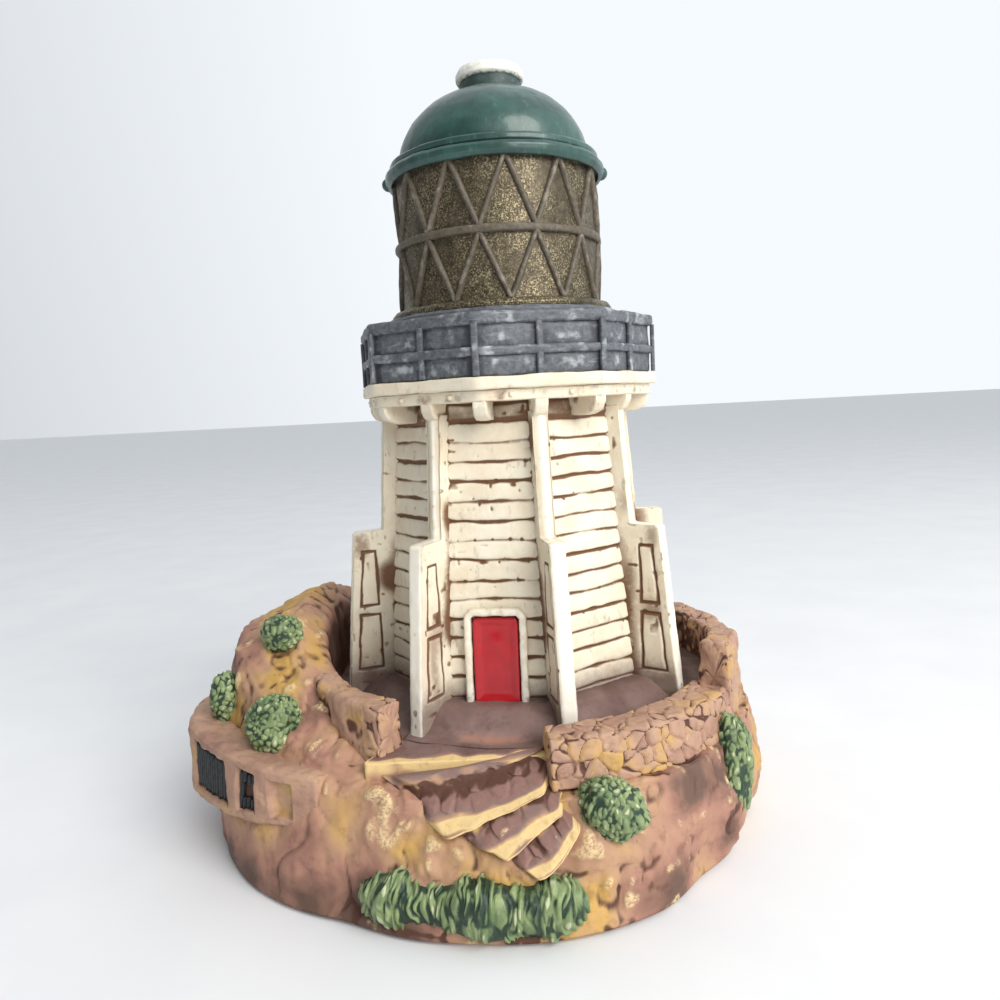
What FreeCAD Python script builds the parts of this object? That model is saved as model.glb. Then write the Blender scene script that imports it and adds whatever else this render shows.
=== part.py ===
"""Cast-resin garden lighthouse ornament: rocky base, walled court, buttressed octagonal tower, gallery, lantern, dome.

All sizes are in millimetres. The origin is on the ground under the tower's axis, +Z is up and the door faces -Y.
A bearing is measured from the front (-Y) towards the right (+X), in degrees. Every casting is a solid of its own:
castings meet face to face, and the stack from base to cap is located by round spigots in sockets.
"""
import FreeCAD, Part
import math
import os

V = FreeCAD.Vector

# ---------------------------------------------------------------- fits
GLUE_GAP = 0.15            # radial clearance of every spigot in its socket
SEAT_GAP = 0.05            # clearance of a trim piece that is laid against a casting

# ---------------------------------------------------------------- ground and court levels
FELT_THICK = 0.8
FELT_INSET = 4.0
BED_RISE = 19.2            # rock from the felt to its flat bed, which the court, walls and mound are laid on
BED_Z = FELT_THICK + BED_RISE
COURT_THICK = 4.5
COURT_TOP = BED_Z + COURT_THICK

# ---------------------------------------------------------------- tower
SIDES = 8
HALF_SIDE_DEG = 180.0 / SIDES
TOWER_RISE = 59.15         # from the court to the frieze
TOWER_TOP = COURT_TOP + TOWER_RISE
WALL_LOW_R = 28.4          # corner radius of the boarded wall at the court
WALL_BATTER = 4.6          # how much less it is under the frieze
WALL_HIGH_R = WALL_LOW_R - WALL_BATTER
BOARD_THICK = 2.0
BOARD_PITCH = 3.65
BOARD_LAP = 0.45
SPIGOT_R = 12.0
SPIGOT_LONG = 12.0
RIB_WIDTH = 3.1
RIB_OUT = 8.5              # how far the buttresses stand out of the wall's corners at the court
RIB_LOW_R = WALL_LOW_R + RIB_OUT
RIB_BATTER = 3.2
RIB_SHOULDER_R = RIB_LOW_R - RIB_BATTER
RIB_SHOULDER_RISE = 34.0
RIB_SHOULDER_Z = COURT_TOP + RIB_SHOULDER_RISE
RIB_UPPER_LOW_R = WALL_LOW_R
RIB_UPPER_BATTER = 2.0
RIB_UPPER_HIGH_R = RIB_UPPER_LOW_R - RIB_UPPER_BATTER
RIB_PANEL_MARGIN = 2.2
RIB_PANEL_LINE = 0.6
RIB_PANEL_DEPTH = 0.4
RIB_PANEL_FEET = [6.0, 18.7]    # lower and upper panel, above the court
RIB_PANEL_HEADS = [16.5, 30.1]
RIB_PANEL_SETOUT = 1.2
RIB_PANEL_IN_R = WALL_LOW_R + RIB_PANEL_SETOUT
BRACKET_DEPTH = 3.25
RIB_TOP_Z = TOWER_TOP - BRACKET_DEPTH

PLINTH_INSET = 0.9
PLINTH_LOW_R = RIB_LOW_R - PLINTH_INSET
PLINTH_SETOUT = 1.1
PLINTH_HIGH_R = WALL_LOW_R + PLINTH_SETOUT
PLINTH_RISE = 4.3
PLINTH_TOP = COURT_TOP + PLINTH_RISE
DOOR_WIDTH = 9.2
DOOR_HEIGHT = 16.8
DOOR_SILL = 3.1
DOOR_BOTTOM = COURT_TOP + DOOR_SILL
DOOR_TOP = DOOR_BOTTOM + DOOR_HEIGHT
DOOR_THICK = 0.9
DOOR_CORNER_R = 1.6
FRAME_BORDER = 1.3
FRAME_THICK = 1.5
LANDING_INSET = 2.3
LANDING_R = RIB_LOW_R - LANDING_INSET
LANDING_HALF_WIDTH = 9.4

# ---------------------------------------------------------------- gallery
FRIEZE_THICK = 2.05
FRIEZE_OUT = 6.2
FRIEZE_R = WALL_HIGH_R + FRIEZE_OUT
FRIEZE_TOP = TOWER_TOP + FRIEZE_THICK
STUD_R = 0.45
SLAB_THICK = 2.3
SLAB_OUT = 1.3
SLAB_R = FRIEZE_R + SLAB_OUT
SLAB_TOP = FRIEZE_TOP + SLAB_THICK
BRACKET_COUNT = 16
BRACKET_WIDTH = 2.5
BRACKET_SETBACK = 0.1      # brackets over the ribs, behind the frieze
BRACKET_CORNER_SETBACK = 0.8
BRACKET_NOSE_R = 1.8
BRACKET_ROOT = 3.0
BRACKET_ROOT_R = SPIGOT_R + BRACKET_ROOT
SCREEN_R = FRIEZE_R        # corner radius of the gallery screen's panels
SCREEN_THICK = 1.6
SCREEN_RISE = 10.4
SCREEN_TOP = SLAB_TOP + SCREEN_RISE
RAIL_OUT = 0.77
RAIL_R = SCREEN_R + RAIL_OUT    # corner radius of the rails and posts
TOP_RAIL_RISE = 9.0
TOP_RAIL_HEIGHT = 2.2
TOP_RAIL_Z = (SLAB_TOP + TOP_RAIL_RISE, SLAB_TOP + TOP_RAIL_RISE + TOP_RAIL_HEIGHT)
MID_RAIL_RISE = 3.6
MID_RAIL_HEIGHT = 1.6
MID_RAIL_Z = (SLAB_TOP + MID_RAIL_RISE, SLAB_TOP + MID_RAIL_RISE + MID_RAIL_HEIGHT)
POST_WIDTH = 1.4
DECK_THICK = 3.5

# ---------------------------------------------------------------- lantern and dome
DRUM_R = 20.0
DRUM_RISE = 25.5
PLINTH_RING_OUT = 3.6
PLINTH_RING_R = DRUM_R + PLINTH_RING_OUT
PLINTH_RING_RISE = 12.6
PLINTH_RING_TOP = SLAB_TOP + PLINTH_RING_RISE
FLANGE_OUT = 2.4
FLANGE_R = DRUM_R + FLANGE_OUT
FLANGE_THICK = 1.6
FLANGE_ROUND = 0.7
FLANGE_TOP = PLINTH_RING_TOP + FLANGE_THICK
DRUM_TOP = FLANGE_TOP + DRUM_RISE
LANTERN_PEG_R = 8.0
LANTERN_PEG = 5.0
LATTICE_COUNT = 12
LATTICE_DEPTH = 0.7
LATTICE_WIDTH = 0.95
LATTICE_RING_RISE = 11.8
LATTICE_RING_HEIGHT = 1.5
LATTICE_RING_Z = (FLANGE_TOP + LATTICE_RING_RISE, FLANGE_TOP + LATTICE_RING_RISE + LATTICE_RING_HEIGHT)
LATTICE_RING_OUT = 0.95
LATTICE_FIRST_DEG = 15.0   # bearing of the first top joint of the lattice
GUTTER_OUT = 2.0
GUTTER_R = DRUM_R + GUTTER_OUT
GUTTER_THICK = 1.9
GUTTER_TOP = DRUM_TOP + GUTTER_THICK
GUTTER_LIP = 0.6
BEAD_INSET = 1.1
BEAD_R = GUTTER_R - BEAD_INSET
BEAD_THICK = 1.6
BEAD_TOP = GUTTER_TOP + BEAD_THICK
DOME_INSET = 1.0
DOME_R = DRUM_R - DOME_INSET
DOME_RISE = 14.2
LUG_DEG = (-80.0, 100.0)
LUG_R = 1.5
LUG_REACH = 0.9
RUNG_DROPS = (2.6, 6.0)    # down from the dome's top
RUNG_R = 0.75
NECK_R = 6.05
NECK_SINK = 1.8            # the neck's seat is cut this far below the dome's top
NECK_BOTTOM = BEAD_TOP + DOME_RISE - NECK_SINK
NECK_RISE = 3.3
NECK_TOP = NECK_BOTTOM + NECK_RISE
NECK_PEG_R = 3.0
NECK_PEG = 3.0
CAP_OUT = 0.7
CAP_R = NECK_R + CAP_OUT
CAP_THICK = 2.6
CAP_ROUND = 1.1

# ---------------------------------------------------------------- court walls
COURT_WALK = 3.1           # between the buttresses' feet and the court wall
COURT_R = RIB_LOW_R + COURT_WALK
WALL_THICK = 5.5
WALL_OUT_R = COURT_R + WALL_THICK
LOW_WALL_SETIN = 2.2
LOW_WALL_IN_R = COURT_R - LOW_WALL_SETIN
LOW_WALL_RISE = 7.0
LOW_WALL_TOP = BED_Z + LOW_WALL_RISE
HIGH_WALL_RISE = 12.0
HIGH_WALL_TOP = BED_Z + HIGH_WALL_RISE
COPING_THICK = 1.2
COPING_JOINT = 0.5
COPING_OVERHANG = 0.3
LOW_WALL_DEG = (16.0, 68.0)
HIGH_WALL_DEG = (68.0, 336.0)
RIGHT_COPING_DEG = (68.0, 236.0)
LEFT_COPING_DEG = (299.0, 336.0)
LOW_COPING_COUNT = 9
RIGHT_COPING_COUNT = 22
LEFT_COPING_COUNT = 5
WALL_END_RISE = 3.5        # the high wall's coping stands higher at its right end, and falls over this many degrees
WALL_END_DEG = 36.0
THRESHOLD_DEG = (-24.0, 16.0)
THRESHOLD_THICK = 4.0
THRESHOLD_LEFT_OUT = 9.0
THRESHOLD_LEFT_R = COURT_R + THRESHOLD_LEFT_OUT
THRESHOLD_RIGHT_OUT = 1.5
THRESHOLD_RIGHT_R = COURT_R + THRESHOLD_RIGHT_OUT
REACH = 4 * COURT_R        # long enough for every cutting tool

# ---------------------------------------------------------------- rock
# How far the rock's outline stands out from the court wall every 22.5 degrees, from the front round by the right:
# at its foot, at half height and at the bed. Between foot and bed it folds in and out at twice as many bearings.
ROCK_FOOT_OUT = [11.0, 10.0, 5.0, 2.0, 1.5, 3.5, 6.5, 8.5, 9.5, 10.5, 12.5, 15.5, 17.5, 18.0, 16.5, 12.0]
ROCK_MID_OUT = [8.0, 8.0, 6.0, 5.0, 4.5, 5.5, 7.5, 8.5, 9.0, 10.0, 13.0, 17.0, 19.5, 19.5, 15.5, 9.5]
ROCK_BED_OUT = [3.0, 3.5, 2.5, 2.5, 2.5, 3.5, 4.0, 4.5, 5.0, 7.0, 11.0, 15.5, 18.5, 18.0, 11.5, 5.0]
ROCK_MID_DROP = 10.0       # from the bed down to the half-height outline
ROCK_FOOT_STEP_DEG = 360.0 / len(ROCK_FOOT_OUT)
ROCK_FOLD_OUT = [0.0, 0.4, -0.8, 1.3, -1.2, 0.9, -0.7, 1.0, -0.9, 1.1, -0.9, 0.8, -1.0, 1.2, -1.0, 0.9,
                 -1.1, 0.9, -1.0, 1.2, -0.9, 1.0, -1.0, 0.8, -0.6, 0.6, -0.4, 0.5, 0.1, 0.6, -0.6, 0.5]
ROCK_STEP_DEG = 360.0 / len(ROCK_FOLD_OUT)
ROCK_FOOT_FOLD = 0.5       # share of each fold at the foot and in the rows above it, up to the bed
ROCK_LOW_FOLD = 1.0
ROCK_MID_FOLD = 0.7
ROCK_HIGH_FOLD = -0.6      # the folds slant, so their upper ends fall between the lower ones

# Raised mound on the left, over the court wall: bearings, then rises above the bed and distances outside the court.
MOUND_DEG = [-135.0, -124.0, -112.5, -101.0, -90.0, -79.0, -67.5, -56.0, -45.0, -35.0, -26.0]
MOUND_WALL_RISE = [5.0, 10.0, 16.5, 19.5, 21.0, 19.2, 17.5, 13.5, 7.0, 4.5, 1.5]
MOUND_RIDGE_OUT = [6.5, 6.8, 5.5, 6.2, 5.0, 5.9, 5.0, 6.5, 7.0, 6.4, 6.5]
MOUND_RIDGE_RISE = [7.0, 12.9, 20.5, 24.0, 25.0, 23.4, 22.0, 16.0, 9.0, 5.9, 2.5]
MOUND_SHOULDER_OUT = [12.0, 14.4, 15.0, 17.3, 17.5, 18.9, 18.0, 15.0, 13.0, 11.6, 8.5]
MOUND_SHOULDER_RISE = [4.0, 7.5, 13.0, 17.0, 18.5, 18.6, 16.5, 11.0, 5.5, 3.5, 1.5]
MOUND_WAIST_OUT = [0.0, 1.0, -0.9, 1.0, -1.1, 1.0, -0.8, 0.9, -0.4, 0.5, 0.0]   # fold half way down the outside
MOUND_SETBACK = 0.4

NEWEL_DEG = 16.8           # the winder steps fan out from a newel at the end of the low wall
NEWEL_INSET = 0.6
STEP_FIRST_DEG = 188.0
STEP_SWEEP_DEG = 19.0
STEP_COUNT = 4
STEP_RISE = 4.0
STEP_LENGTH = 34.0
STEP_OUT = 9.0
STEP_OUT_R = WALL_OUT_R + STEP_OUT

# Retaining wall of the terrace on the left: bearings, distance outside the court wall, foot below and top above the bed.
TERRACE_DEG = [-86.0, -74.0, -62.0, -48.0, -41.0, -34.0]
TERRACE_OUT = [21.5, 23.1, 22.7, 17.5, 14.5, 11.0]
TERRACE_DROP = [6.5, 7.5, 8.5, 8.0, 7.7, 7.3]
TERRACE_RISE = [3.5, 4.5, 4.7, 3.6, 3.0, 2.3]
TERRACE_THICK = 8.0
TERRACE_RIM = 1.8          # solid band above and below each bay
TERRACE_POST = 2.6
TERRACE_BAY_DEPTH = 1.6
SLAT_WIDTH = 0.9
SLAT_COUNT = 5             # in each bay
SLAT_BAYS = 4              # the bay nearest the door stays open
SLAT_THICK = 0.8

# Shrubs: bearings, distances outside the court wall, rises above the bed, and sizes. Lobes are placed in sizes.
ROUND_LOBES = [(0.0, 0.0), (-0.55, 0.35), (0.55, 0.3), (0.0, 0.6), (-0.4, -0.45), (0.45, -0.4)]
TALL_LOBES = [(0.0, 0.0), (0.15, 1.0), (-0.15, -0.95), (0.1, -1.8)]
SHRUB_NAMES = ["shrub_on_mound", "shrub_below_mound", "shrub_on_terrace", "shrub_front_right", "shrub_right"]
SHRUB_DEG = [-65.0, -49.0, -66.0, 25.0, 62.0]
SHRUB_OUT = [4.0, 9.0, 16.0, 5.0, 2.0]
SHRUB_RISE = [19.8, 7.4, 6.5, -2.0, -2.5]
SHRUB_LOBE_R = [3.4, 4.2, 3.4, 3.9, 3.9]
SHRUB_LOBES = [ROUND_LOBES, ROUND_LOBES, ROUND_LOBES, ROUND_LOBES, TALL_LOBES]
HEDGE_DEG = (-20.0, 18.0)
HEDGE_COUNT = 7
HEDGE_OUT = 8.5
HEDGE_R = WALL_OUT_R + HEDGE_OUT
HEDGE_LOBE_R = 5.2
HEDGE_RISE = 4.8
HEDGE_Z = FELT_THICK + HEDGE_RISE


# ================================================================ helpers
def at(bearing, radius, z):
    """Point at a bearing and radius."""
    a = math.radians(bearing)
    return V(radius * math.sin(a), -radius * math.cos(a), z)


def turned(shape, bearing):
    """Copy of a shape modelled at the front (towards -Y), turned to a bearing."""
    copy = shape.copy()
    copy.rotate(V(0, 0, 0), V(0, 0, 1), bearing)
    return copy


def prism(points, height):
    """Upright prism over a closed outline."""
    return Part.Face(Part.makePolygon(points + [points[0]])).extrude(V(0, 0, height))


def cylinder(radius, low, high):
    return Part.makeCylinder(radius, high - low, V(0, 0, low))


def octagon(corner_r, z, first_bearing):
    return [at(first_bearing + i * 360.0 / SIDES, corner_r, z) for i in range(SIDES)]


def octagon_prism(corner_r, low, high, first_bearing=0.0):
    return prism(octagon(corner_r, low, first_bearing), high - low)


def octagon_frustum(low_r, low, high_r, high, first_bearing=0.0):
    wires = [Part.makePolygon(ring + [ring[0]]) for ring in
             (octagon(low_r, low, first_bearing), octagon(high_r, high, first_bearing))]
    return Part.makeLoft(wires, True, True)


def sector(inner, outer, low, high, first, last):
    """Part of a ring between two bearings."""
    profile = [at(first, inner, low), at(first, outer, low), at(first, outer, high), at(first, inner, high)]
    face = Part.Face(Part.makePolygon(profile + [profile[0]]))
    return face.revolve(V(0, 0, 0), V(0, 0, 1), last - first)


def slab_at_front(width, inner, outer, low, high):
    """Upright block towards -Y, of a width across and between two distances from the axis."""
    return Part.makeBox(width, outer - inner, high - low, V(-width / 2, -outer, low))


def facets(triples):
    """Solid bounded by flat facets, each given as its corner points."""
    faces = [Part.Face(Part.makePolygon(list(t) + [t[0]])) for t in triples]
    solid = Part.makeSolid(Part.makeShell(faces))
    if solid.Volume < 0:
        solid.reverse()
    return solid


def quad(a, b, c, d):
    """Two flat triangles for a four-cornered patch that may be twisted."""
    return [(a, b, c), (a, c, d)]


def wall_r(z):
    """Corner radius of the boarded wall at a height."""
    share = (z - COURT_TOP) / (TOWER_TOP - COURT_TOP)
    return WALL_LOW_R + (WALL_HIGH_R - WALL_LOW_R) * share


def apothem(corner_r):
    return corner_r * math.cos(math.radians(HALF_SIDE_DEG))


def doubled(values):
    """Values round a ring with the mean of each neighbouring pair set between them."""
    pairs = zip(values, values[1:] + values[:1])
    return [value for a, b in pairs for value in (a, (a + b) / 2)]


# ================================================================ base castings
def rock_base():
    """Faceted rock from its foot to the flat bed, with a socket for the tower's spigot."""
    count = len(ROCK_FOLD_OUT)
    mid_z = BED_Z - ROCK_MID_DROP
    foot, middle, bed = doubled(ROCK_FOOT_OUT), doubled(ROCK_MID_OUT), doubled(ROCK_BED_OUT)
    rings = []
    for low, high, low_z, high_z, fold in ((foot, foot, FELT_THICK, FELT_THICK, ROCK_FOOT_FOLD),
                                           (foot, middle, FELT_THICK, mid_z, ROCK_LOW_FOLD),
                                           (middle, middle, mid_z, mid_z, ROCK_MID_FOLD),
                                           (middle, bed, mid_z, BED_Z, ROCK_HIGH_FOLD),
                                           (bed, bed, BED_Z, BED_Z, 0.0)):
        rings.append([at(i * ROCK_STEP_DEG, WALL_OUT_R + (low[i] + high[i]) / 2 + fold * ROCK_FOLD_OUT[i],
                         (low_z + high_z) / 2) for i in range(count)])
    skin = [tuple(rings[0]), tuple(rings[-1])]
    for low, high in zip(rings, rings[1:]):
        for i in range(count):
            j = (i + 1) % count
            skin += quad(low[i], low[j], high[j], high[i])
    socket_floor = COURT_TOP - SPIGOT_LONG - GLUE_GAP
    rock = facets(skin)
    return rock.cut(cylinder(SPIGOT_R + GLUE_GAP, socket_floor, BED_Z + REACH))


def felt_pad():
    ring = [at(i * ROCK_FOOT_STEP_DEG, WALL_OUT_R + out - FELT_INSET, 0) for i, out in enumerate(ROCK_FOOT_OUT)]
    return prism(ring, FELT_THICK)


def bed_radius(bearing):
    """Radius of the bed's outline at a bearing, on the straight line between its corners."""
    outs = doubled(ROCK_BED_OUT)
    place = (bearing / ROCK_STEP_DEG) % len(outs)
    i = int(place)
    a = at(i * ROCK_STEP_DEG, WALL_OUT_R + outs[i], 0)
    b = at((i + 1) * ROCK_STEP_DEG, WALL_OUT_R + outs[(i + 1) % len(outs)], 0)
    ray = at(bearing, 1.0, 0)
    side = V(-ray.y, ray.x, 0)
    share = a.dot(side) / (a.dot(side) - b.dot(side))
    return (a + (b - a) * share).Length


def rock_mound():
    """Raised rock behind and over the court wall, lofted by flat facets over its stations."""
    rows = []
    inner = COURT_R + MOUND_SETBACK
    for i, bearing in enumerate(MOUND_DEG):
        shoulder_r = COURT_R + MOUND_SHOULDER_OUT[i]
        waist_r = (shoulder_r + bed_radius(bearing)) / 2 + MOUND_WAIST_OUT[i]
        rows.append([at(bearing, inner, BED_Z),
                     at(bearing, inner, BED_Z + MOUND_WALL_RISE[i]),
                     at(bearing, COURT_R + MOUND_RIDGE_OUT[i], BED_Z + MOUND_RIDGE_RISE[i]),
                     at(bearing, shoulder_r, BED_Z + MOUND_SHOULDER_RISE[i]),
                     at(bearing, waist_r, BED_Z + MOUND_SHOULDER_RISE[i] / 2),
                     at(bearing, bed_radius(bearing), BED_Z)])
    skin = [tuple(rows[0]), tuple(rows[-1])]
    for a, b in zip(rows, rows[1:]):
        for i in range(len(a)):
            j = (i + 1) % len(a)
            skin += quad(a[i], a[j], b[j], b[i])
    mound = facets(skin)
    mound = mound.cut(sector(COURT_R - WALL_THICK, WALL_OUT_R, BED_Z, HIGH_WALL_TOP, *HIGH_WALL_DEG))
    for bearings in (RIGHT_COPING_DEG, LEFT_COPING_DEG):
        mound = mound.cut(sector(COURT_R - COPING_OVERHANG, WALL_OUT_R + COPING_OVERHANG, BED_Z,
                                 HIGH_WALL_TOP + COPING_THICK, *bearings))
    return max(mound.Solids, key=lambda solid: solid.Volume)


def winder_steps():
    """Fan of steps round a newel, each lower than the one before."""
    steps = []
    newel = at(NEWEL_DEG, WALL_OUT_R - NEWEL_INSET, 0)
    for i in range(STEP_COUNT):
        top = BED_Z - i * STEP_RISE
        low = top - STEP_RISE * 2
        first = math.radians(STEP_FIRST_DEG + i * STEP_SWEEP_DEG)
        last = math.radians(STEP_FIRST_DEG + (i + 1) * STEP_SWEEP_DEG)
        corners = [newel + V(0, 0, low)]
        for angle in (first, last):
            corners.append(newel + V(STEP_LENGTH * math.cos(angle), STEP_LENGTH * math.sin(angle), low))
        steps.append(prism(corners, top - low))
    fan = steps[0].multiFuse(steps[1:])
    return fan.common(cylinder(STEP_OUT_R, FELT_THICK, BED_Z)).removeSplitter()


def threshold_slab():
    """Paving in the gateway, cut off along the line where the steps begin."""
    first, last = THRESHOLD_DEG
    top = BED_Z + THRESHOLD_THICK
    ring = sector(COURT_R, THRESHOLD_LEFT_R, BED_Z, top, first, last)
    line = [at(first - 1, THRESHOLD_LEFT_R, BED_Z), at(last + 1, THRESHOLD_RIGHT_R, BED_Z),
            at(last + 1, REACH, BED_Z), at(first - 1, REACH, BED_Z)]
    return ring.cut(prism(line, THRESHOLD_THICK))


def court_wall(inner, top, bearings):
    return sector(inner, WALL_OUT_R, BED_Z, top, *bearings)


def coping_row(inner, outer, low, bearings, count, end_rise=0.0):
    """Row of coping stones with open joints. The first ones may be taller, by a rise that dies away along the row."""
    first, last = bearings
    pitch = (last - first) / count
    gap = math.degrees(COPING_JOINT / outer)
    row = []
    for i in range(count):
        start = first + i * pitch
        top = low + COPING_THICK + end_rise * max(0.0, 1.0 - i * pitch / WALL_END_DEG)
        row.append(sector(inner, outer, low, top, start + gap / 2, start + pitch - gap / 2))
    return row


def low_coping():
    """Two rows of paving stones on the wide low wall."""
    middle = (LOW_WALL_IN_R + WALL_OUT_R) / 2
    inner = coping_row(LOW_WALL_IN_R, middle - COPING_JOINT / 2, LOW_WALL_TOP, LOW_WALL_DEG, LOW_COPING_COUNT)
    outer = coping_row(middle + COPING_JOINT / 2, WALL_OUT_R + COPING_OVERHANG, LOW_WALL_TOP, LOW_WALL_DEG,
                       LOW_COPING_COUNT)
    return Part.makeCompound(inner + outer)


def high_coping():
    inner, outer = COURT_R - COPING_OVERHANG, WALL_OUT_R + COPING_OVERHANG
    stones = coping_row(inner, outer, HIGH_WALL_TOP, RIGHT_COPING_DEG, RIGHT_COPING_COUNT, WALL_END_RISE)
    stones += coping_row(inner, outer, HIGH_WALL_TOP, LEFT_COPING_DEG, LEFT_COPING_COUNT)
    return Part.makeCompound(stones)


def hexahedron(lower, upper):
    """Solid between two four-cornered outlines."""
    skin = quad(*lower) + quad(*upper)
    for i in range(4):
        j = (i + 1) % 4
        skin += quad(lower[i], lower[j], upper[j], upper[i])
    return facets(skin)


def terrace_bays():
    """Pairs of stations, each as bearing, outer radius, foot and top."""
    stations = [(deg, WALL_OUT_R + out, BED_Z - drop, BED_Z + rise)
                for deg, out, drop, rise in zip(TERRACE_DEG, TERRACE_OUT, TERRACE_DROP, TERRACE_RISE)]
    return list(zip(stations, stations[1:]))


def bay_block(bay, first, last, outside, inside, rim):
    """Part of one terrace bay: between two distances along it, two depths behind its face, clear of both rims."""
    (a, ra, low_a, top_a), (b, rb, low_b, top_b) = bay
    start, end = at(a, ra, 0), at(b, rb, 0)
    length = (end - start).Length
    along = (end - start).normalize()
    inward = V(0, 0, 1).cross(along)
    if inward.dot(start) > 0:
        inward = inward * -1

    def corner(distance, depth, low):
        share = distance / length
        z = low_a + (low_b - low_a) * share + rim if low else top_a + (top_b - top_a) * share - rim
        return start + along * distance + inward * depth + V(0, 0, z)

    rings = []
    for low in (True, False):
        rings.append([corner(first, outside, low), corner(last, outside, low), corner(last, inside, low),
                      corner(first, inside, low)])
    return hexahedron(*rings)


def bay_length(bay):
    (a, ra, _, _), (b, rb, _, _) = bay
    return (at(b, rb, 0) - at(a, ra, 0)).Length


def terrace_wall(rock, mound):
    """Curved retaining wall on the left, with a recess in each bay between its posts."""
    bays = terrace_bays()
    blocks = []
    for (a, ra, low_a, top_a), (b, rb, low_b, top_b) in bays:
        lower = [at(a, ra, low_a), at(b, rb, low_b), at(b, rb - TERRACE_THICK, low_b), at(a, ra - TERRACE_THICK, low_a)]
        upper = [at(a, ra, top_a), at(b, rb, top_b), at(b, rb - TERRACE_THICK, top_b), at(a, ra - TERRACE_THICK, top_a)]
        blocks.append(hexahedron(lower, upper))
    wall = blocks[0].multiFuse(blocks[1:])
    for bay in bays:
        post = TERRACE_POST / 2
        wall = wall.cut(bay_block(bay, post, bay_length(bay) - post, -TERRACE_BAY_DEPTH, TERRACE_BAY_DEPTH,
                                  TERRACE_RIM))
    wall = wall.cut(rock).cut(mound)
    return max(wall.Solids, key=lambda solid: solid.Volume)


def terrace_slats():
    """Dark upright slats, a row in the recess of each bay, laid against its back."""
    slats = []
    for bay in terrace_bays()[:SLAT_BAYS]:
        pitch = (bay_length(bay) - TERRACE_POST) / SLAT_COUNT
        for i in range(SLAT_COUNT):
            first = TERRACE_POST / 2 + (i + 0.5) * pitch - SLAT_WIDTH / 2
            slats.append(bay_block(bay, first, first + SLAT_WIDTH, TERRACE_BAY_DEPTH - SLAT_THICK, TERRACE_BAY_DEPTH,
                                   TERRACE_RIM))
    return Part.makeCompound(slats)


def shrub(bearing, radius, z, lobe_r, lobes, neighbours):
    """Clump of round lobes, trimmed to lie on what it grows from."""
    across = V(math.cos(math.radians(bearing)), math.sin(math.radians(bearing)), 0)
    centre = at(bearing, radius, z)
    balls = [Part.makeSphere(lobe_r * (1.0 - 0.35 * min(1.0, abs(du) + abs(dv))),
                             centre + across * du * lobe_r + V(0, 0, dv * lobe_r)) for du, dv in lobes]
    clump = balls[0].multiFuse(balls[1:])
    for other in neighbours:
        clump = clump.cut(other)
    return max(clump.Solids, key=lambda s: s.Volume)


def front_hedge(neighbours):
    first, last = HEDGE_DEG
    pitch = (last - first) / (HEDGE_COUNT - 1)
    balls = [Part.makeSphere(HEDGE_LOBE_R, at(first + i * pitch, HEDGE_R, HEDGE_Z)) for i in range(HEDGE_COUNT)]
    hedge = balls[0].multiFuse(balls[1:])
    hedge = hedge.cut(cylinder(REACH, -REACH, FELT_THICK))
    for other in neighbours:
        hedge = hedge.cut(other)
    return max(hedge.Solids, key=lambda s: s.Volume)


# ================================================================ tower castings
def tower_core():
    """Plain octagonal core behind the boards, with a spigot at each end."""
    low_r = wall_r(COURT_TOP) - BOARD_THICK / math.cos(math.radians(HALF_SIDE_DEG))
    high_r = wall_r(TOWER_TOP) - BOARD_THICK / math.cos(math.radians(HALF_SIDE_DEG))
    core = octagon_frustum(low_r, COURT_TOP, high_r, TOWER_TOP, HALF_SIDE_DEG)
    core = core.fuse(cylinder(SPIGOT_R, COURT_TOP - SPIGOT_LONG, COURT_TOP))
    return core.fuse(cylinder(SPIGOT_R, TOWER_TOP, FRIEZE_TOP - GLUE_GAP)).removeSplitter()


def rib_at_front():
    """One buttress: a deep lower part with engraved panels, a shoulder, and a slim upper part with an arris."""
    root = SPIGOT_R
    lower_profile = [V(0, -root, COURT_TOP), V(0, -RIB_LOW_R, COURT_TOP), V(0, -RIB_SHOULDER_R, RIB_SHOULDER_Z),
                     V(0, -root, RIB_SHOULDER_Z)]
    face = Part.Face(Part.makePolygon(lower_profile + [lower_profile[0]]))
    lower = face.extrude(V(RIB_WIDTH, 0, 0))
    lower.translate(V(-RIB_WIDTH / 2, 0, 0))
    slab = slab_at_front(RIB_WIDTH, root, REACH, RIB_SHOULDER_Z, RIB_TOP_Z)
    upper = slab.common(octagon_frustum(RIB_UPPER_LOW_R, RIB_SHOULDER_Z, RIB_UPPER_HIGH_R, RIB_TOP_Z))
    rib = lower.fuse(upper).removeSplitter()
    for foot, head in zip(RIB_PANEL_FEET, RIB_PANEL_HEADS):
        for side in (-1, 1):
            rib = rib.cut(panel_line(COURT_TOP + foot, COURT_TOP + head, side))
    return rib


def rib_outer(z):
    """Outer face of a buttress's lower part at a height."""
    share = (z - COURT_TOP) / (RIB_SHOULDER_Z - COURT_TOP)
    return RIB_LOW_R + (RIB_SHOULDER_R - RIB_LOW_R) * share


def panel_line(low, high, side):
    """Engraved line round one panel on a buttress's side."""
    def outline(inset):
        x = side * (RIB_WIDTH / 2 + 1.0)
        points = [V(x, -(RIB_PANEL_IN_R + inset), low + inset),
                  V(x, -(rib_outer(low) - RIB_PANEL_MARGIN - inset), low + inset),
                  V(x, -(rib_outer(high) - RIB_PANEL_MARGIN - inset), high - inset),
                  V(x, -(RIB_PANEL_IN_R + inset), high - inset)]
        return Part.Face(Part.makePolygon(points + [points[0]]))
    depth = V(-side * (1.0 + RIB_PANEL_DEPTH), 0, 0)
    return outline(0).extrude(depth).cut(outline(RIB_PANEL_LINE).extrude(depth))


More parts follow.
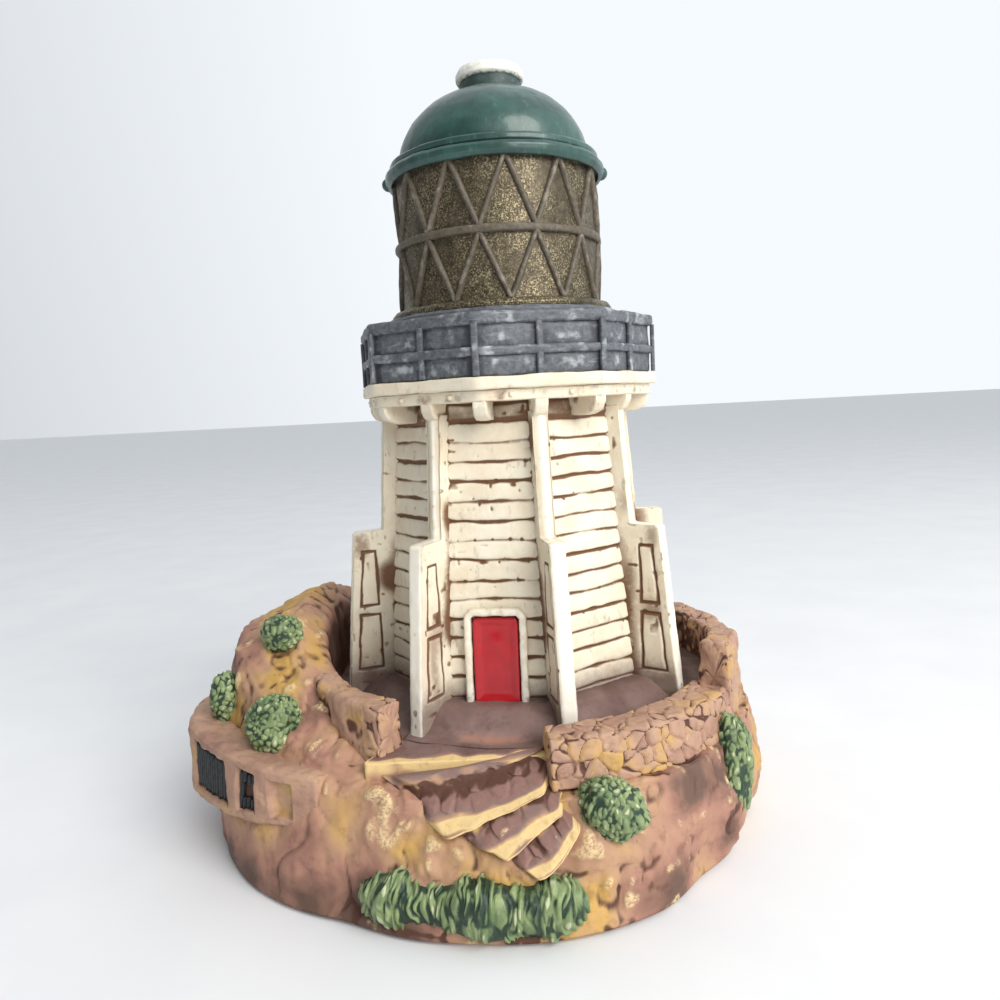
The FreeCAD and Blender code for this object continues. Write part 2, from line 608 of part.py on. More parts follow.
def boarded_wall_at_front():
    """Lapped boards on one face of the tower, filling the space between two buttresses."""
    points = []
    z = COURT_TOP
    while z < TOWER_TOP - SEAT_GAP:
        top = min(z + BOARD_PITCH, TOWER_TOP)
        points.append(V(0, -apothem(wall_r(z)) - BOARD_LAP / 2, z))
        points.append(V(0, -apothem(wall_r(top)) + BOARD_LAP / 2, top))
        z = top
    low_in = apothem(wall_r(COURT_TOP)) - BOARD_THICK
    high_in = apothem(wall_r(TOWER_TOP)) - BOARD_THICK
    points += [V(0, -high_in, TOWER_TOP), V(0, -low_in, COURT_TOP)]
    width = 2 * WALL_LOW_R
    wall = Part.Face(Part.makePolygon(points + [points[0]])).extrude(V(width, 0, 0))
    wall.translate(V(-width / 2, 0, 0))
    half = math.radians(HALF_SIDE_DEG)
    apex = (RIB_WIDTH / 2) / math.sin(half)
    spread = REACH * math.tan(half)
    between = [V(0, -apex, 0), V(spread, -apex - REACH, 0), V(-spread, -apex - REACH, 0)]
    wall = wall.common(prism(between, REACH))
    for bearing in (-HALF_SIDE_DEG, HALF_SIDE_DEG):
        wall = wall.cut(turned(bracket(rib_bracket_reach()), bearing))
    return wall.cut(bracket(corner_bracket_reach()))


def door_outline(border, y, depth):
    """Upright prism of the door's outline with rounded top corners, grown by a border."""
    half = DOOR_WIDTH / 2 + border
    top = DOOR_TOP + border
    r = DOOR_CORNER_R
    a, b, c = V(-half, y, DOOR_BOTTOM), V(half, y, DOOR_BOTTOM), V(half, y, top - r)
    d, e, f = V(half - r, y, top), V(-half + r, y, top), V(-half, y, top - r)
    bend = r * math.sqrt(0.5)
    right = Part.Arc(c, V(half - r + bend, y, top - r + bend), d).toShape()
    left = Part.Arc(e, V(-half + r - bend, y, top - r + bend), f).toShape()
    wire = Part.Wire([Part.makeLine(a, b), Part.makeLine(b, c), right, Part.makeLine(d, e), left,
                      Part.makeLine(f, a)])
    return Part.Face(wire).extrude(V(0, depth, 0))


def leaning(shape):
    """Tips an upright piece back against the wall's batter, about the wall's foot."""
    slope = math.degrees(math.atan2(apothem(WALL_LOW_R) - apothem(WALL_HIGH_R), TOWER_TOP - COURT_TOP))
    tipped = shape.copy()
    tipped.rotate(V(0, -apothem(WALL_LOW_R), COURT_TOP), V(1, 0, 0), -slope)
    return tipped


def door_leaf():
    face_y = -apothem(WALL_LOW_R) - BOARD_LAP / 2
    return leaning(door_outline(0, face_y - SEAT_GAP, -DOOR_THICK))


def door_frame():
    face_y = -apothem(WALL_LOW_R) - BOARD_LAP / 2 - SEAT_GAP
    frame = door_outline(FRAME_BORDER, face_y, -FRAME_THICK)
    opening = door_outline(SEAT_GAP, face_y + FRAME_THICK, -3 * FRAME_THICK)
    opening = opening.fuse(Part.makeBox(DOOR_WIDTH + 2 * SEAT_GAP, 3 * FRAME_THICK, 2 * FRAME_THICK,
                                        V(-DOOR_WIDTH / 2 - SEAT_GAP, face_y - 2 * FRAME_THICK,
                                          DOOR_BOTTOM - FRAME_THICK)))
    return leaning(frame.cut(opening))


def tower_plinth(ribs, walls):
    """Sloping skirt between the buttresses at the tower's foot."""
    skirt = Part.makeCone(PLINTH_LOW_R, PLINTH_HIGH_R, PLINTH_TOP - COURT_TOP, V(0, 0, COURT_TOP))
    core = octagon_frustum(WALL_LOW_R, COURT_TOP, wall_r(PLINTH_TOP), PLINTH_TOP, HALF_SIDE_DEG)
    skirt = skirt.cut(core)
    for other in ribs + walls:
        skirt = skirt.cut(other)
    return skirt


def door_landing(core, ribs, walls):
    """Rounded doorstep between the two front buttresses."""
    step = cylinder(LANDING_R, COURT_TOP, DOOR_BOTTOM - SEAT_GAP)
    step = step.common(slab_at_front(2 * LANDING_HALF_WIDTH, SPIGOT_R, REACH, COURT_TOP, DOOR_BOTTOM))
    for other in [core] + ribs + walls:
        step = step.cut(other)
    return max(step.Solids, key=lambda s: s.Volume)


# ================================================================ gallery castings
def rib_bracket_reach():
    return apothem(FRIEZE_R) - BRACKET_SETBACK


def corner_bracket_reach():
    return FRIEZE_R - BRACKET_CORNER_SETBACK


def bracket(reach):
    """Corbel bracket with a rounded nose, towards -Y."""
    nose = BRACKET_NOSE_R
    low = RIB_TOP_Z
    root = BRACKET_ROOT_R
    a, b = V(0, -root, low), V(0, -(reach - nose), low)
    c, d = V(0, -reach, low + nose), V(0, -reach, TOWER_TOP)
    bend = nose * math.sqrt(0.5)
    arc = Part.Arc(b, V(0, -(reach - nose + bend), low + nose - bend), c).toShape()
    e = V(0, -root, TOWER_TOP)
    wire = Part.Wire([Part.makeLine(a, b), arc, Part.makeLine(c, d), Part.makeLine(d, e), Part.makeLine(e, a)])
    block = Part.Face(wire).extrude(V(BRACKET_WIDTH, 0, 0))
    block.translate(V(-BRACKET_WIDTH / 2, 0, 0))
    return block


def corbel_brackets(core):
    """Brackets over the ribs, and longer ones under the slab's corners."""
    blocks = []
    for reach, first_bearing in ((rib_bracket_reach(), HALF_SIDE_DEG), (corner_bracket_reach(), 0.0)):
        for i in range(SIDES):
            blocks.append(turned(bracket(reach), first_bearing + i * 360.0 / SIDES).cut(core))
    return Part.makeCompound(blocks)


def frieze_ring():
    ring = octagon_prism(FRIEZE_R, TOWER_TOP, FRIEZE_TOP)
    return ring.cut(cylinder(SPIGOT_R + GLUE_GAP, TOWER_TOP - 1.0, FRIEZE_TOP + 1.0))


def frieze_studs():
    """Small round studs on the frieze, one over each space between brackets."""
    studs = []
    ring = octagon_prism(FRIEZE_R, TOWER_TOP, FRIEZE_TOP)
    pitch = 360.0 / BRACKET_COUNT
    for i in range(BRACKET_COUNT):
        bearing = (i + 0.5) * pitch
        off_normal = abs((bearing % (2 * HALF_SIDE_DEG)) - HALF_SIDE_DEG)
        radius = apothem(FRIEZE_R) / math.cos(math.radians(off_normal))
        ball = Part.makeSphere(STUD_R, at(bearing, radius, TOWER_TOP + FRIEZE_THICK / 2))
        studs.append(ball.cut(ring))
    return Part.makeCompound(studs)


def gallery_slab():
    return octagon_prism(SLAB_R, FRIEZE_TOP, SLAB_TOP)


def gallery_screen():
    outer = octagon_prism(SCREEN_R, SLAB_TOP, SCREEN_TOP)
    return outer.cut(octagon_prism(SCREEN_R - SCREEN_THICK, SLAB_TOP, SCREEN_TOP))


def gallery_deck():
    deck = octagon_prism(SCREEN_R - SCREEN_THICK, SLAB_TOP, SLAB_TOP + DECK_THICK)
    return deck.cut(cylinder(LANTERN_PEG_R + GLUE_GAP, SLAB_TOP - 1.0, SLAB_TOP + DECK_THICK + 1.0))


def gallery_rail(heights, cover=0.0):
    """Rail laid against the screen; the top rail also covers the screen's edge."""
    low, high = heights
    ring = octagon_prism(RAIL_R, low, high).cut(octagon_prism(SCREEN_R, low, high))
    if cover:
        cap = octagon_prism(RAIL_R, SCREEN_TOP, high)
        ring = ring.fuse(cap.cut(octagon_prism(SCREEN_R - SCREEN_THICK - cover, SCREEN_TOP, high)))
    return ring.removeSplitter()


def rail_posts():
    """Upright posts at the screen's corners and mid-sides, between the rails."""
    posts = []
    shell_of_rails = octagon_prism(RAIL_R, SLAB_TOP, SCREEN_TOP)
    screen = octagon_prism(SCREEN_R, SLAB_TOP, SCREEN_TOP)
    for i in range(BRACKET_COUNT):
        for low, high in ((SLAB_TOP, MID_RAIL_Z[0]), (MID_RAIL_Z[1], TOP_RAIL_Z[0])):
            block = slab_at_front(POST_WIDTH, SCREEN_R - SCREEN_THICK - POST_WIDTH, RAIL_R + POST_WIDTH, low, high)
            block = turned(block, i * 360.0 / BRACKET_COUNT)
            posts.append(block.common(shell_of_rails).cut(screen))
    return Part.makeCompound(posts)


# ================================================================ lantern and dome castings
def lantern_plinth():
    low = SLAB_TOP + DECK_THICK
    ring = cylinder(PLINTH_RING_R, low, PLINTH_RING_TOP)
    ring = ring.fuse(cylinder(LANTERN_PEG_R, low - DECK_THICK + GLUE_GAP, low))
    return ring.cut(cylinder(LANTERN_PEG_R + GLUE_GAP, PLINTH_RING_TOP - LANTERN_PEG, PLINTH_RING_TOP))


def lantern_flange():
    ring = cylinder(FLANGE_R, PLINTH_RING_TOP, FLANGE_TOP)
    ring = ring.makeFillet(min(FLANGE_ROUND, (FLANGE_TOP - PLINTH_RING_TOP) * 0.8), [ring.Edges[0]])
    return ring.cut(cylinder(LANTERN_PEG_R + GLUE_GAP, PLINTH_RING_TOP - 1.0, FLANGE_TOP + 1.0))


def lantern_drum():
    drum = cylinder(DRUM_R, FLANGE_TOP, DRUM_TOP)
    peg_low = PLINTH_RING_TOP - LANTERN_PEG + GLUE_GAP
    drum = drum.fuse(cylinder(LANTERN_PEG_R, peg_low, FLANGE_TOP))
    return drum.cut(cylinder(LANTERN_PEG_R + GLUE_GAP, DRUM_TOP - LANTERN_PEG, DRUM_TOP))


def lattice_bar(bearing_low, z_low, bearing_high, z_high):
    """Straight glazing bar between two joints, trimmed to the drum and to one depth."""
    a = at(bearing_low, DRUM_R, z_low)
    b = at(bearing_high, DRUM_R, z_high)
    along = (b - a).normalize()
    outward = at((bearing_low + bearing_high) / 2, 1.0, 0)
    side = along.cross(outward).normalize() * (LATTICE_WIDTH / 2)
    middle = DRUM_R * math.cos(math.radians(abs(bearing_high - bearing_low) / 2))
    back = outward * (middle - DRUM_R - 0.5)
    points = [a + side + back, b + side + back, b - side + back, a - side + back]
    return Part.Face(Part.makePolygon(points + [points[0]])).extrude(outward * (DRUM_R - middle + 4.0))


def lattice_tier(z_low, z_high, low_first, high_first):
    """Zigzag of glazing bars round the drum."""
    pitch = 360.0 / LATTICE_COUNT
    bars = []
    for i in range(LATTICE_COUNT):
        low_bearing = low_first + i * pitch
        for high_bearing in (high_first + i * pitch, high_first + (i - 1) * pitch):
            bars.append(lattice_bar(low_bearing, z_low, high_bearing, z_high))
    tier = bars[0].multiFuse(bars[1:])
    shell = cylinder(DRUM_R + LATTICE_DEPTH, z_low, z_high).cut(cylinder(DRUM_R, z_low, z_high))
    return tier.common(shell)


def lattice_ring():
    low, high = LATTICE_RING_Z
    return cylinder(DRUM_R + LATTICE_RING_OUT, low, high).cut(cylinder(DRUM_R, low, high))


def dome_gutter():
    """Fascia ring under the dome, lipped over the top of the drum."""
    ring = cylinder(GUTTER_R, DRUM_TOP, GUTTER_TOP)
    lip = cylinder(GUTTER_R - GUTTER_LIP, DRUM_TOP - GUTTER_LIP, DRUM_TOP)
    lip = lip.cut(cylinder(DRUM_R + LATTICE_DEPTH + SEAT_GAP, DRUM_TOP - GUTTER_LIP, DRUM_TOP))
    ring = ring.fuse(lip)
    return ring.cut(cylinder(LANTERN_PEG_R + GLUE_GAP, DRUM_TOP - 1.0, GUTTER_TOP + 1.0))


def dome_radius(z):
    """Radius of the dome's elliptical outside at a height."""
    share = min(1.0, (z - BEAD_TOP) / DOME_RISE)
    return DOME_R * math.sqrt(max(0.0, 1.0 - share * share))


def dome_shell():
    """Dome turned from its half section: bead, elliptical outside, socket for the neck and a peg into the drum."""
    ellipse = Part.Ellipse(V(0, 0, 0), DOME_R, DOME_RISE)
    arc = Part.ArcOfEllipse(ellipse, 0, math.pi / 2).toShape()
    arc.rotate(V(0, 0, 0), V(1, 0, 0), 90)
    arc.translate(V(0, 0, BEAD_TOP))
    face = Part.Face(Part.Wire([arc, Part.makeLine(V(0, 0, BEAD_TOP + DOME_RISE), V(0, 0, BEAD_TOP)),
                                Part.makeLine(V(0, 0, BEAD_TOP), V(DOME_R, 0, BEAD_TOP))]))
    cap = face.revolve(V(0, 0, 0), V(0, 0, 1), 360)
    bead = cylinder(BEAD_R, GUTTER_TOP, BEAD_TOP)
    peg = cylinder(LANTERN_PEG_R, DRUM_TOP - LANTERN_PEG + GLUE_GAP, GUTTER_TOP)
    dome = cap.fuse(bead).fuse(peg)
    dome = dome.cut(cylinder(REACH, NECK_BOTTOM, NECK_BOTTOM + REACH))
    return dome.cut(cylinder(NECK_PEG_R + GLUE_GAP, NECK_BOTTOM - NECK_PEG - GLUE_GAP, NECK_BOTTOM)).removeSplitter()


def dome_rungs(dome):
    """Small knobs up two opposite sides of the dome."""
    knobs = []
    for bearing in LUG_DEG:
        for drop in RUNG_DROPS:
            z = BEAD_TOP + DOME_RISE - drop
            knobs.append(Part.makeSphere(RUNG_R, at(bearing, dome_radius(z), z)).cut(dome))
    return Part.makeCompound(knobs)


def gutter_lugs(gutter):
    """Spout lugs on the gutter, one on each side."""
    lugs = []
    for bearing in LUG_DEG:
        centre = at(bearing, GUTTER_R + LUG_REACH - LUG_R, DRUM_TOP + (GUTTER_TOP - DRUM_TOP) / 2)
        lug = Part.makeSphere(LUG_R, centre)
        lugs.append(lug.cut(gutter).cut(cylinder(GUTTER_R, 0, GUTTER_TOP + REACH)))
    return Part.makeCompound(lugs)


def vent_neck():
    neck = cylinder(NECK_R, NECK_BOTTOM, NECK_TOP)
    neck = neck.fuse(cylinder(NECK_PEG_R, NECK_BOTTOM - NECK_PEG, NECK_BOTTOM))
    return neck.removeSplitter()


def vent_cap():
    cap = cylinder(CAP_R, NECK_TOP, NECK_TOP + CAP_THICK)
    top_edge = [e for e in cap.Edges if abs(e.BoundBox.ZMin - (NECK_TOP + CAP_THICK)) < 1e-6]
    return cap.makeFillet(min(CAP_ROUND, CAP_THICK * 0.45), top_edge)


# ================================================================ assembly
FACE_NAMES = ["front", "front_right", "right", "back_right", "back", "back_left", "left", "front_left"]


def build():
    """Every casting under its node's name."""
    made = {}
    rock = rock_base()
    mound = rock_mound()
    steps = winder_steps()
    rock = rock.cut(steps)
    low_wall = court_wall(LOW_WALL_IN_R, LOW_WALL_TOP, LOW_WALL_DEG)
    court = cylinder(COURT_R, BED_Z, COURT_TOP).cut(low_wall)
    court = court.cut(cylinder(SPIGOT_R + GLUE_GAP, BED_Z - 1.0, COURT_TOP + 1.0))
    terrace = terrace_wall(rock, mound)

    made["rock_base"] = rock
    made["felt_pad"] = felt_pad()
    made["rock_mound"] = mound
    made["winder_steps"] = steps
    made["court_floor"] = court
    made["threshold_slab"] = threshold_slab()
    made["court_wall_low"] = low_wall
    made["court_wall_high"] = court_wall(COURT_R, HIGH_WALL_TOP, HIGH_WALL_DEG)
    made["low_wall_paving"] = low_coping()
    made["high_wall_coping"] = high_coping()
    made["terrace_wall"] = terrace
    made["terrace_slats"] = terrace_slats()
    ground = [rock, mound, steps, terrace, low_wall, made["low_wall_paving"], made["court_wall_high"],
              made["high_wall_coping"], made["threshold_slab"]]
    for i, name in enumerate(SHRUB_NAMES):
        made[name] = shrub(SHRUB_DEG[i], WALL_OUT_R + SHRUB_OUT[i], BED_Z + SHRUB_RISE[i], SHRUB_LOBE_R[i],
                           SHRUB_LOBES[i], ground)
    made["front_hedge"] = front_hedge(ground + [made["felt_pad"]])

    core = tower_core()
    rib = rib_at_front().cut(turned(core, HALF_SIDE_DEG))
    wall = boarded_wall_at_front()
    ribs = []
    walls = []
    made["tower_core"] = core
    for i, face_name in enumerate(FACE_NAMES):
        bearing = i * 360.0 / SIDES
        walls.append(turned(wall, bearing))
        ribs.append(turned(rib, bearing + HALF_SIDE_DEG))
        made["boards_" + face_name] = walls[-1]
        made["buttress_" + str(i + 1)] = ribs[-1]
    made["tower_plinth"] = tower_plinth(ribs, walls)
    made["door_landing"] = door_landing(core, ribs, walls)
    made["tower_plinth"] = made["tower_plinth"].cut(made["door_landing"])
    made["door_leaf"] = door_leaf()
    made["door_frame"] = door_frame()
    for name in ("tower_plinth", "door_landing"):
        made[name] = made[name].cut(made["door_frame"]).cut(made["door_leaf"])

    made["corbel_brackets"] = corbel_brackets(core)
    made["frieze_ring"] = frieze_ring()
    made["frieze_studs"] = frieze_studs()
    made["gallery_slab"] = gallery_slab()
    made["gallery_screen"] = gallery_screen()
    made["gallery_deck"] = gallery_deck()
    made["top_rail"] = gallery_rail(TOP_RAIL_Z, SEAT_GAP)
    made["middle_rail"] = gallery_rail(MID_RAIL_Z)
    made["rail_posts"] = rail_posts()

    made["lantern_plinth"] = lantern_plinth()
    made["lantern_flange"] = lantern_flange()
    made["lantern_drum"] = lantern_drum()
    half_pitch = 180.0 / LATTICE_COUNT
    low, high = LATTICE_RING_Z
    made["lattice_lower"] = lattice_tier(FLANGE_TOP, low, LATTICE_FIRST_DEG, LATTICE_FIRST_DEG + half_pitch)
    made["lattice_ring"] = lattice_ring()
    made["lattice_upper"] = lattice_tier(high, DRUM_TOP, LATTICE_FIRST_DEG + half_pitch,
                                         LATTICE_FIRST_DEG + 2 * half_pitch)
    made["dome_gutter"] = dome_gutter()
    made["gutter_lugs"] = gutter_lugs(made["dome_gutter"])
    made["dome_shell"] = dome_shell()
    made["dome_rungs"] = dome_rungs(made["dome_shell"])
    made["vent_neck"] = vent_neck()
    made["vent_cap"] = vent_cap()
    return made


def main():
    os.makedirs("parts", exist_ok=True)
    for name, shape in build().items():
        bad = not shape.isValid() or not shape.Solids
        print(name, "solids", len(shape.Solids), "volume", round(shape.Volume, 1), "INVALID" if bad else "")
        Part.makeCompound(shape.Solids).exportStep("parts/" + name + ".step")


main()
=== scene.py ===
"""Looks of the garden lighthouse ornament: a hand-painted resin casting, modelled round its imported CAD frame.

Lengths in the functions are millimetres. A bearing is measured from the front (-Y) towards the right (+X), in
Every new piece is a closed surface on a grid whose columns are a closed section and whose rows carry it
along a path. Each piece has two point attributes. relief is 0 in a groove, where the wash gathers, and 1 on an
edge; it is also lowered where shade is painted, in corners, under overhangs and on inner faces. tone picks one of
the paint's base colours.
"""

import math

import bmesh
import bpy
import numpy as np
from mathutils import Matrix, Vector


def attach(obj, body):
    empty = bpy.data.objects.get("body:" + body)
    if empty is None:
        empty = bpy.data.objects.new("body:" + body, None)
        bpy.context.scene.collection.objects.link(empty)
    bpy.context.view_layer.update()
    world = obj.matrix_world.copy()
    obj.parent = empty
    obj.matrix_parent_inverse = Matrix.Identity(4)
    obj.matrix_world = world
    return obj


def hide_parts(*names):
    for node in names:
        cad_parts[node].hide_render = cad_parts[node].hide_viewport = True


bl_info = {
    "name": "Garden Lighthouse Ornament",
    "version": (1, 0, 0),
    "blender": (4, 5, 0),
    "location": "View3D > Sidebar > Lighthouse",
    "description": "Builds the sculpted and painted pieces of a garden lighthouse ornament on its CAD frame",
    "category": "Object",
}

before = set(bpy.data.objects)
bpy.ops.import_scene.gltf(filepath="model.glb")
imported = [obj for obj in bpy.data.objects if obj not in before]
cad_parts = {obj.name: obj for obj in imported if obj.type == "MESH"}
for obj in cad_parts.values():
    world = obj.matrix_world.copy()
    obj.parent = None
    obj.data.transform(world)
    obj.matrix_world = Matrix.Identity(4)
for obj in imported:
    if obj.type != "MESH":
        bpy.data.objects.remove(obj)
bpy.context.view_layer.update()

MM = 0.001
BODY = "root"

# Sizes that the pieces share with the CAD castings.
FELT_TOP = 0.8
BED_Z = 20.0
COURT_TOP = 24.5
COURT_R = 40.0
WALL_OUT_R = 45.5
HIGH_WALL_R = 45.7
WALL_FOOT = 20.2
TOWER_TOP = 83.65
SIDE_DEG = 45.0            # the tower and the gallery are eight-sided, with the door in the middle of a side
HALF_SIDE = 22.5
WALL_LOW_R = 28.4
WALL_HIGH_R = 23.8
FRIEZE_TOP = 85.7
SLAB_TOP = 88.0
PLINTH_TOP = 100.6
FLANGE_TOP = 102.2
DRUM_TOP = 127.7
GUTTER_TOP = 129.6
BEAD_TOP = 131.2
NECK_BOTTOM = 143.6
NECK_TOP = 146.9
CORE_R = 9.0               # turned pieces of the lantern and dome close on a core of this radius, out of sight
BUTTRESS_FOOT_R = 36.9
DRUM_R = 20.0
BAND_LOW = 114.0           # the band round the middle of the lantern
BAND_HIGH = 115.5
DOME_R = 19.0
DOME_RISE = 14.2
KNOB_DEG = (-80.0, 100.0)  # the knobs and lugs show only on the outline, at the left and the right


# ---------------------------------------------------------------- arrays
def place(bearing, radius, height):
    """Points at bearings, radii and heights: x = r sin(bearing), y = -r cos(bearing)."""
    angle = np.radians(bearing)
    return np.stack(np.broadcast_arrays(radius * np.sin(angle), -radius * np.cos(angle), height), axis=-1)


def all_round(count):
    """Bearings evenly round the circle."""
    return np.linspace(0.0, 360.0, count, endpoint=False)


def turned(bearing):
    """Bearing brought between -180 and 180."""
    return (bearing + 180.0) % 360.0 - 180.0


def step(value, low, high):
    """Smooth step: 0 below low, 1 above high, 3t^2 - 2t^3 between."""
    t = np.clip((value - low) / (high - low), 0.0, 1.0)
    return t * t * (3.0 - 2.0 * t)


def spread(points, counts):
    """Points along a polyline: each run is divided into its count of equal parts, the last point included."""
    points = np.asarray(points, float)
    shape = (-1,) + (1,) * (points.ndim - 1)
    rows = [a + (b - a) * np.linspace(0.0, 1.0, n, endpoint=False).reshape(shape)
            for a, b, n in zip(points, points[1:], counts)]
    return np.concatenate(rows + [points[-1:]])


def loop(points, counts):
    """As spread, for a closed section: the first point isn't repeated."""
    return spread(list(points) + [points[0]], counts)[:-1]


def relaxed(array, times, axis=0, wrap=False):
    """Array smoothed along one axis, each value moved to the mean of itself and its neighbours; ends are
    kept."""
    for _ in range(times):
        before, after = np.roll(array, 1, axis), np.roll(array, -1, axis)
        smooth = 0.25 * before + 0.5 * array + 0.25 * after
        if not wrap:
            ends = [slice(None)] * array.ndim
            for end in (0, -1):
                ends[axis] = end
                smooth[tuple(ends)] = array[tuple(ends)]
        array = smooth
    return array


def scrambled(cells, seed):
    """Repeatable number from 0 to 1 for each whole-number cell: its coordinates are mixed by multiply and
    shift."""
    x, y, z = cells[..., 0], cells[..., 1], cells[..., 2]
    mixed = (x * 73856093) ^ (y * 19349663) ^ (z * 83492791) ^ (seed * 668265263)
    mixed = (mixed ^ (mixed >> 13)) * 1274126177
    mixed = (mixed ^ (mixed >> 16)) & 0xFFFFFF
    return mixed / float(0xFFFFFF)


def noise(points, cell, seed):
    """Value noise from -1 to 1: random numbers at the corners of cubes of one cell, blended smoothly
    between."""
    scaled = points / np.asarray(cell, float)
    corner = np.floor(scaled).astype(np.int64)
    f = scaled - corner
    f = f * f * (3.0 - 2.0 * f)
    total = 0.0
    for dx in (0, 1):
        for dy in (0, 1):
            for dz in (0, 1):
                weight = ((f[..., 0] if dx else 1.0 - f[..., 0]) * (f[..., 1] if dy else 1.0 - f[..., 1])
                          * (f[..., 2] if dz else 1.0 - f[..., 2]))
                total = total + weight * scrambled(corner + np.array([dx, dy, dz]), seed)
    return 2.0 * total - 1.0


def drift(points, cell, seed):
    """Three noises as a vector, which warps what is built on the points."""
    return np.stack([noise(points, cell, seed + k) for k in range(3)], axis=-1)


def rough(points, cell, seed, octaves=4):
    """Sum of noises, each of half the cell and half the height of the one before."""
    cell = np.asarray(cell, float)
    return sum(noise(points, cell / 2 ** i, seed + i) * 0.5 ** i for i in range(octaves))


def creased(points, cell, seed, octaves=3):
    """Sharp valleys between rounded humps: |noise| summed over octaves, from about 0 in a valley to 1."""
    cell = np.asarray(cell, float)
    return sum(np.abs(noise(points, cell / 2 ** i, seed + i)) * 0.6 ** i for i in range(octaves))


def stones(points, cell, seed, wobble=0.85):
    """Cells round random centres, one in each cube: distance between the nearest two, a number per stone."""
    scaled = points / np.asarray(cell, float)
    home = np.floor(scaled).astype(np.int64)
    first = np.full(points.shape[:-1], 9.0)
    second = first.copy()
    tone = first.copy()
    for dx in (-1, 0, 1):
        for dy in (-1, 0, 1):
            for dz in (-1, 0, 1):
                cube = home + np.array([dx, dy, dz])
                jitter = np.stack([scrambled(cube, seed + k) for k in range(3)], axis=-1)
                away = np.linalg.norm(cube + 0.5 + wobble * (jitter - 0.5) - scaled, axis=-1)
                nearer = away < first
                second = np.where(nearer, first, np.minimum(second, away))
                tone = np.where(nearer, scrambled(cube, seed + 7), tone)
                first = np.where(nearer, away, first)
    return second - first, tone


def directions(grid, ring):
    """Unit normals of a grid of closed sections, from the cross product of its row and column differences."""
    across = np.roll(grid, -1, axis=1) - np.roll(grid, 1, axis=1)
    along = np.roll(grid, -1, axis=0) - np.roll(grid, 1, axis=0)
    if not ring:
        along[0] = grid[1] - grid[0]
        along[-1] = grid[-1] - grid[-2]
    normal = np.cross(across, along)
    normal /= np.maximum(np.linalg.norm(normal, axis=-1, keepdims=True), 1e-9)
    middle = grid.mean(axis=1, keepdims=True)
    outward = np.sum(normal * (grid - middle))
    return normal if outward > 0 else -normal


def pushed(grid, height, ring=False):
    """Grid moved along its normals by a height at each point."""
    return grid + directions(grid, ring) * height[..., None]


def unit(vectors):
    """Vectors scaled to length 1."""
    return vectors / np.linalg.norm(vectors, axis=-1, keepdims=True)


def ball(rows, columns, reach):
    """Sphere of radius 1 from latitude and longitude, its rows ending at a latitude of reach degrees."""
    lat = np.radians(np.linspace(-reach, reach, rows))[:, None]
    lon = np.radians(all_round(columns))[None, :]
    x, y, z = np.cos(lat) * np.cos(lon), np.cos(lat) * np.sin(lon), np.sin(lat)
    return np.stack(np.broadcast_arrays(x, y, z), axis=-1)


def squared(count, power):
    """Angles round a section, and the stretch that makes a circle nearly square there."""
    angle = np.radians(all_round(count))
    return angle, 1.0 / np.maximum(np.abs(np.cos(angle)), np.abs(np.sin(angle))) ** power


# ---------------------------------------------------------------- meshes
def piece(name, grids, finish, replaces=(), reliefs=None, ring=False, tones=None):
    """Closed piece from grids of points in millimetres, rows by columns. Columns always close on themselves.
    Rows close when ring is true, and otherwise the first and last row are drawn together at their middle."""
    verts, faces, relief_values, tone_values = [], [], [], []
    base = 0
    for k, grid in enumerate(grids):
        relief = reliefs[k] if reliefs is not None else np.full(grid.shape[:2], 0.6)
        tone = tones[k] if tones is not None else np.full(grid.shape[:2], 0.5)
        if not ring:
            first = np.repeat(grid[:1].mean(axis=1, keepdims=True), grid.shape[1], axis=1)
            last = np.repeat(grid[-1:].mean(axis=1, keepdims=True), grid.shape[1], axis=1)
            grid = np.concatenate([first, grid, last])
            relief = np.concatenate([relief[:1], relief, relief[-1:]])
            tone = np.concatenate([tone[:1], tone, tone[-1:]])
        rows, columns = grid.shape[:2]
        index = base + np.arange(rows * columns).reshape(rows, columns)
        below = np.roll(index, -1, axis=0) if ring else index[1:]
        above = index if ring else index[:-1]
        quads = np.stack([above, np.roll(above, -1, axis=1), np.roll(below, -1, axis=1), below], axis=-1)
        verts.append(grid.reshape(-1, 3))
        faces.append(quads.reshape(-1, 4))
        relief_values.append(relief.ravel())
        tone_values.append(tone.ravel())
        base += rows * columns
    mesh = bpy.data.meshes.new(name)
    mesh.from_pydata((np.concatenate(verts) * MM).tolist(), [], np.concatenate(faces).tolist())
    for label, values in (("relief", relief_values), ("tone", tone_values)):
        layer = mesh.attributes.new(label, "FLOAT", "POINT")
        layer.data.foreach_set("value", np.clip(np.concatenate(values), 0.0, 1.0).astype(np.float32))
    tidy = bmesh.new()
    tidy.from_mesh(mesh)
    bmesh.ops.remove_doubles(tidy, verts=tidy.verts, dist=1e-6)
    bmesh.ops.dissolve_degenerate(tidy, edges=tidy.edges, dist=1e-7)
    bmesh.ops.recalc_face_normals(tidy, faces=tidy.faces)
    tidy.to_mesh(mesh)
    tidy.free()
    mesh.polygons.foreach_set("use_smooth", np.ones(len(mesh.polygons), bool))
    mesh.update()
    made = bpy.data.objects.new(name, mesh)
    bpy.context.scene.collection.objects.link(made)
    mesh.materials.append(finish)
    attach(made, BODY)
    if replaces:
        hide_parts(*replaces)
    return made


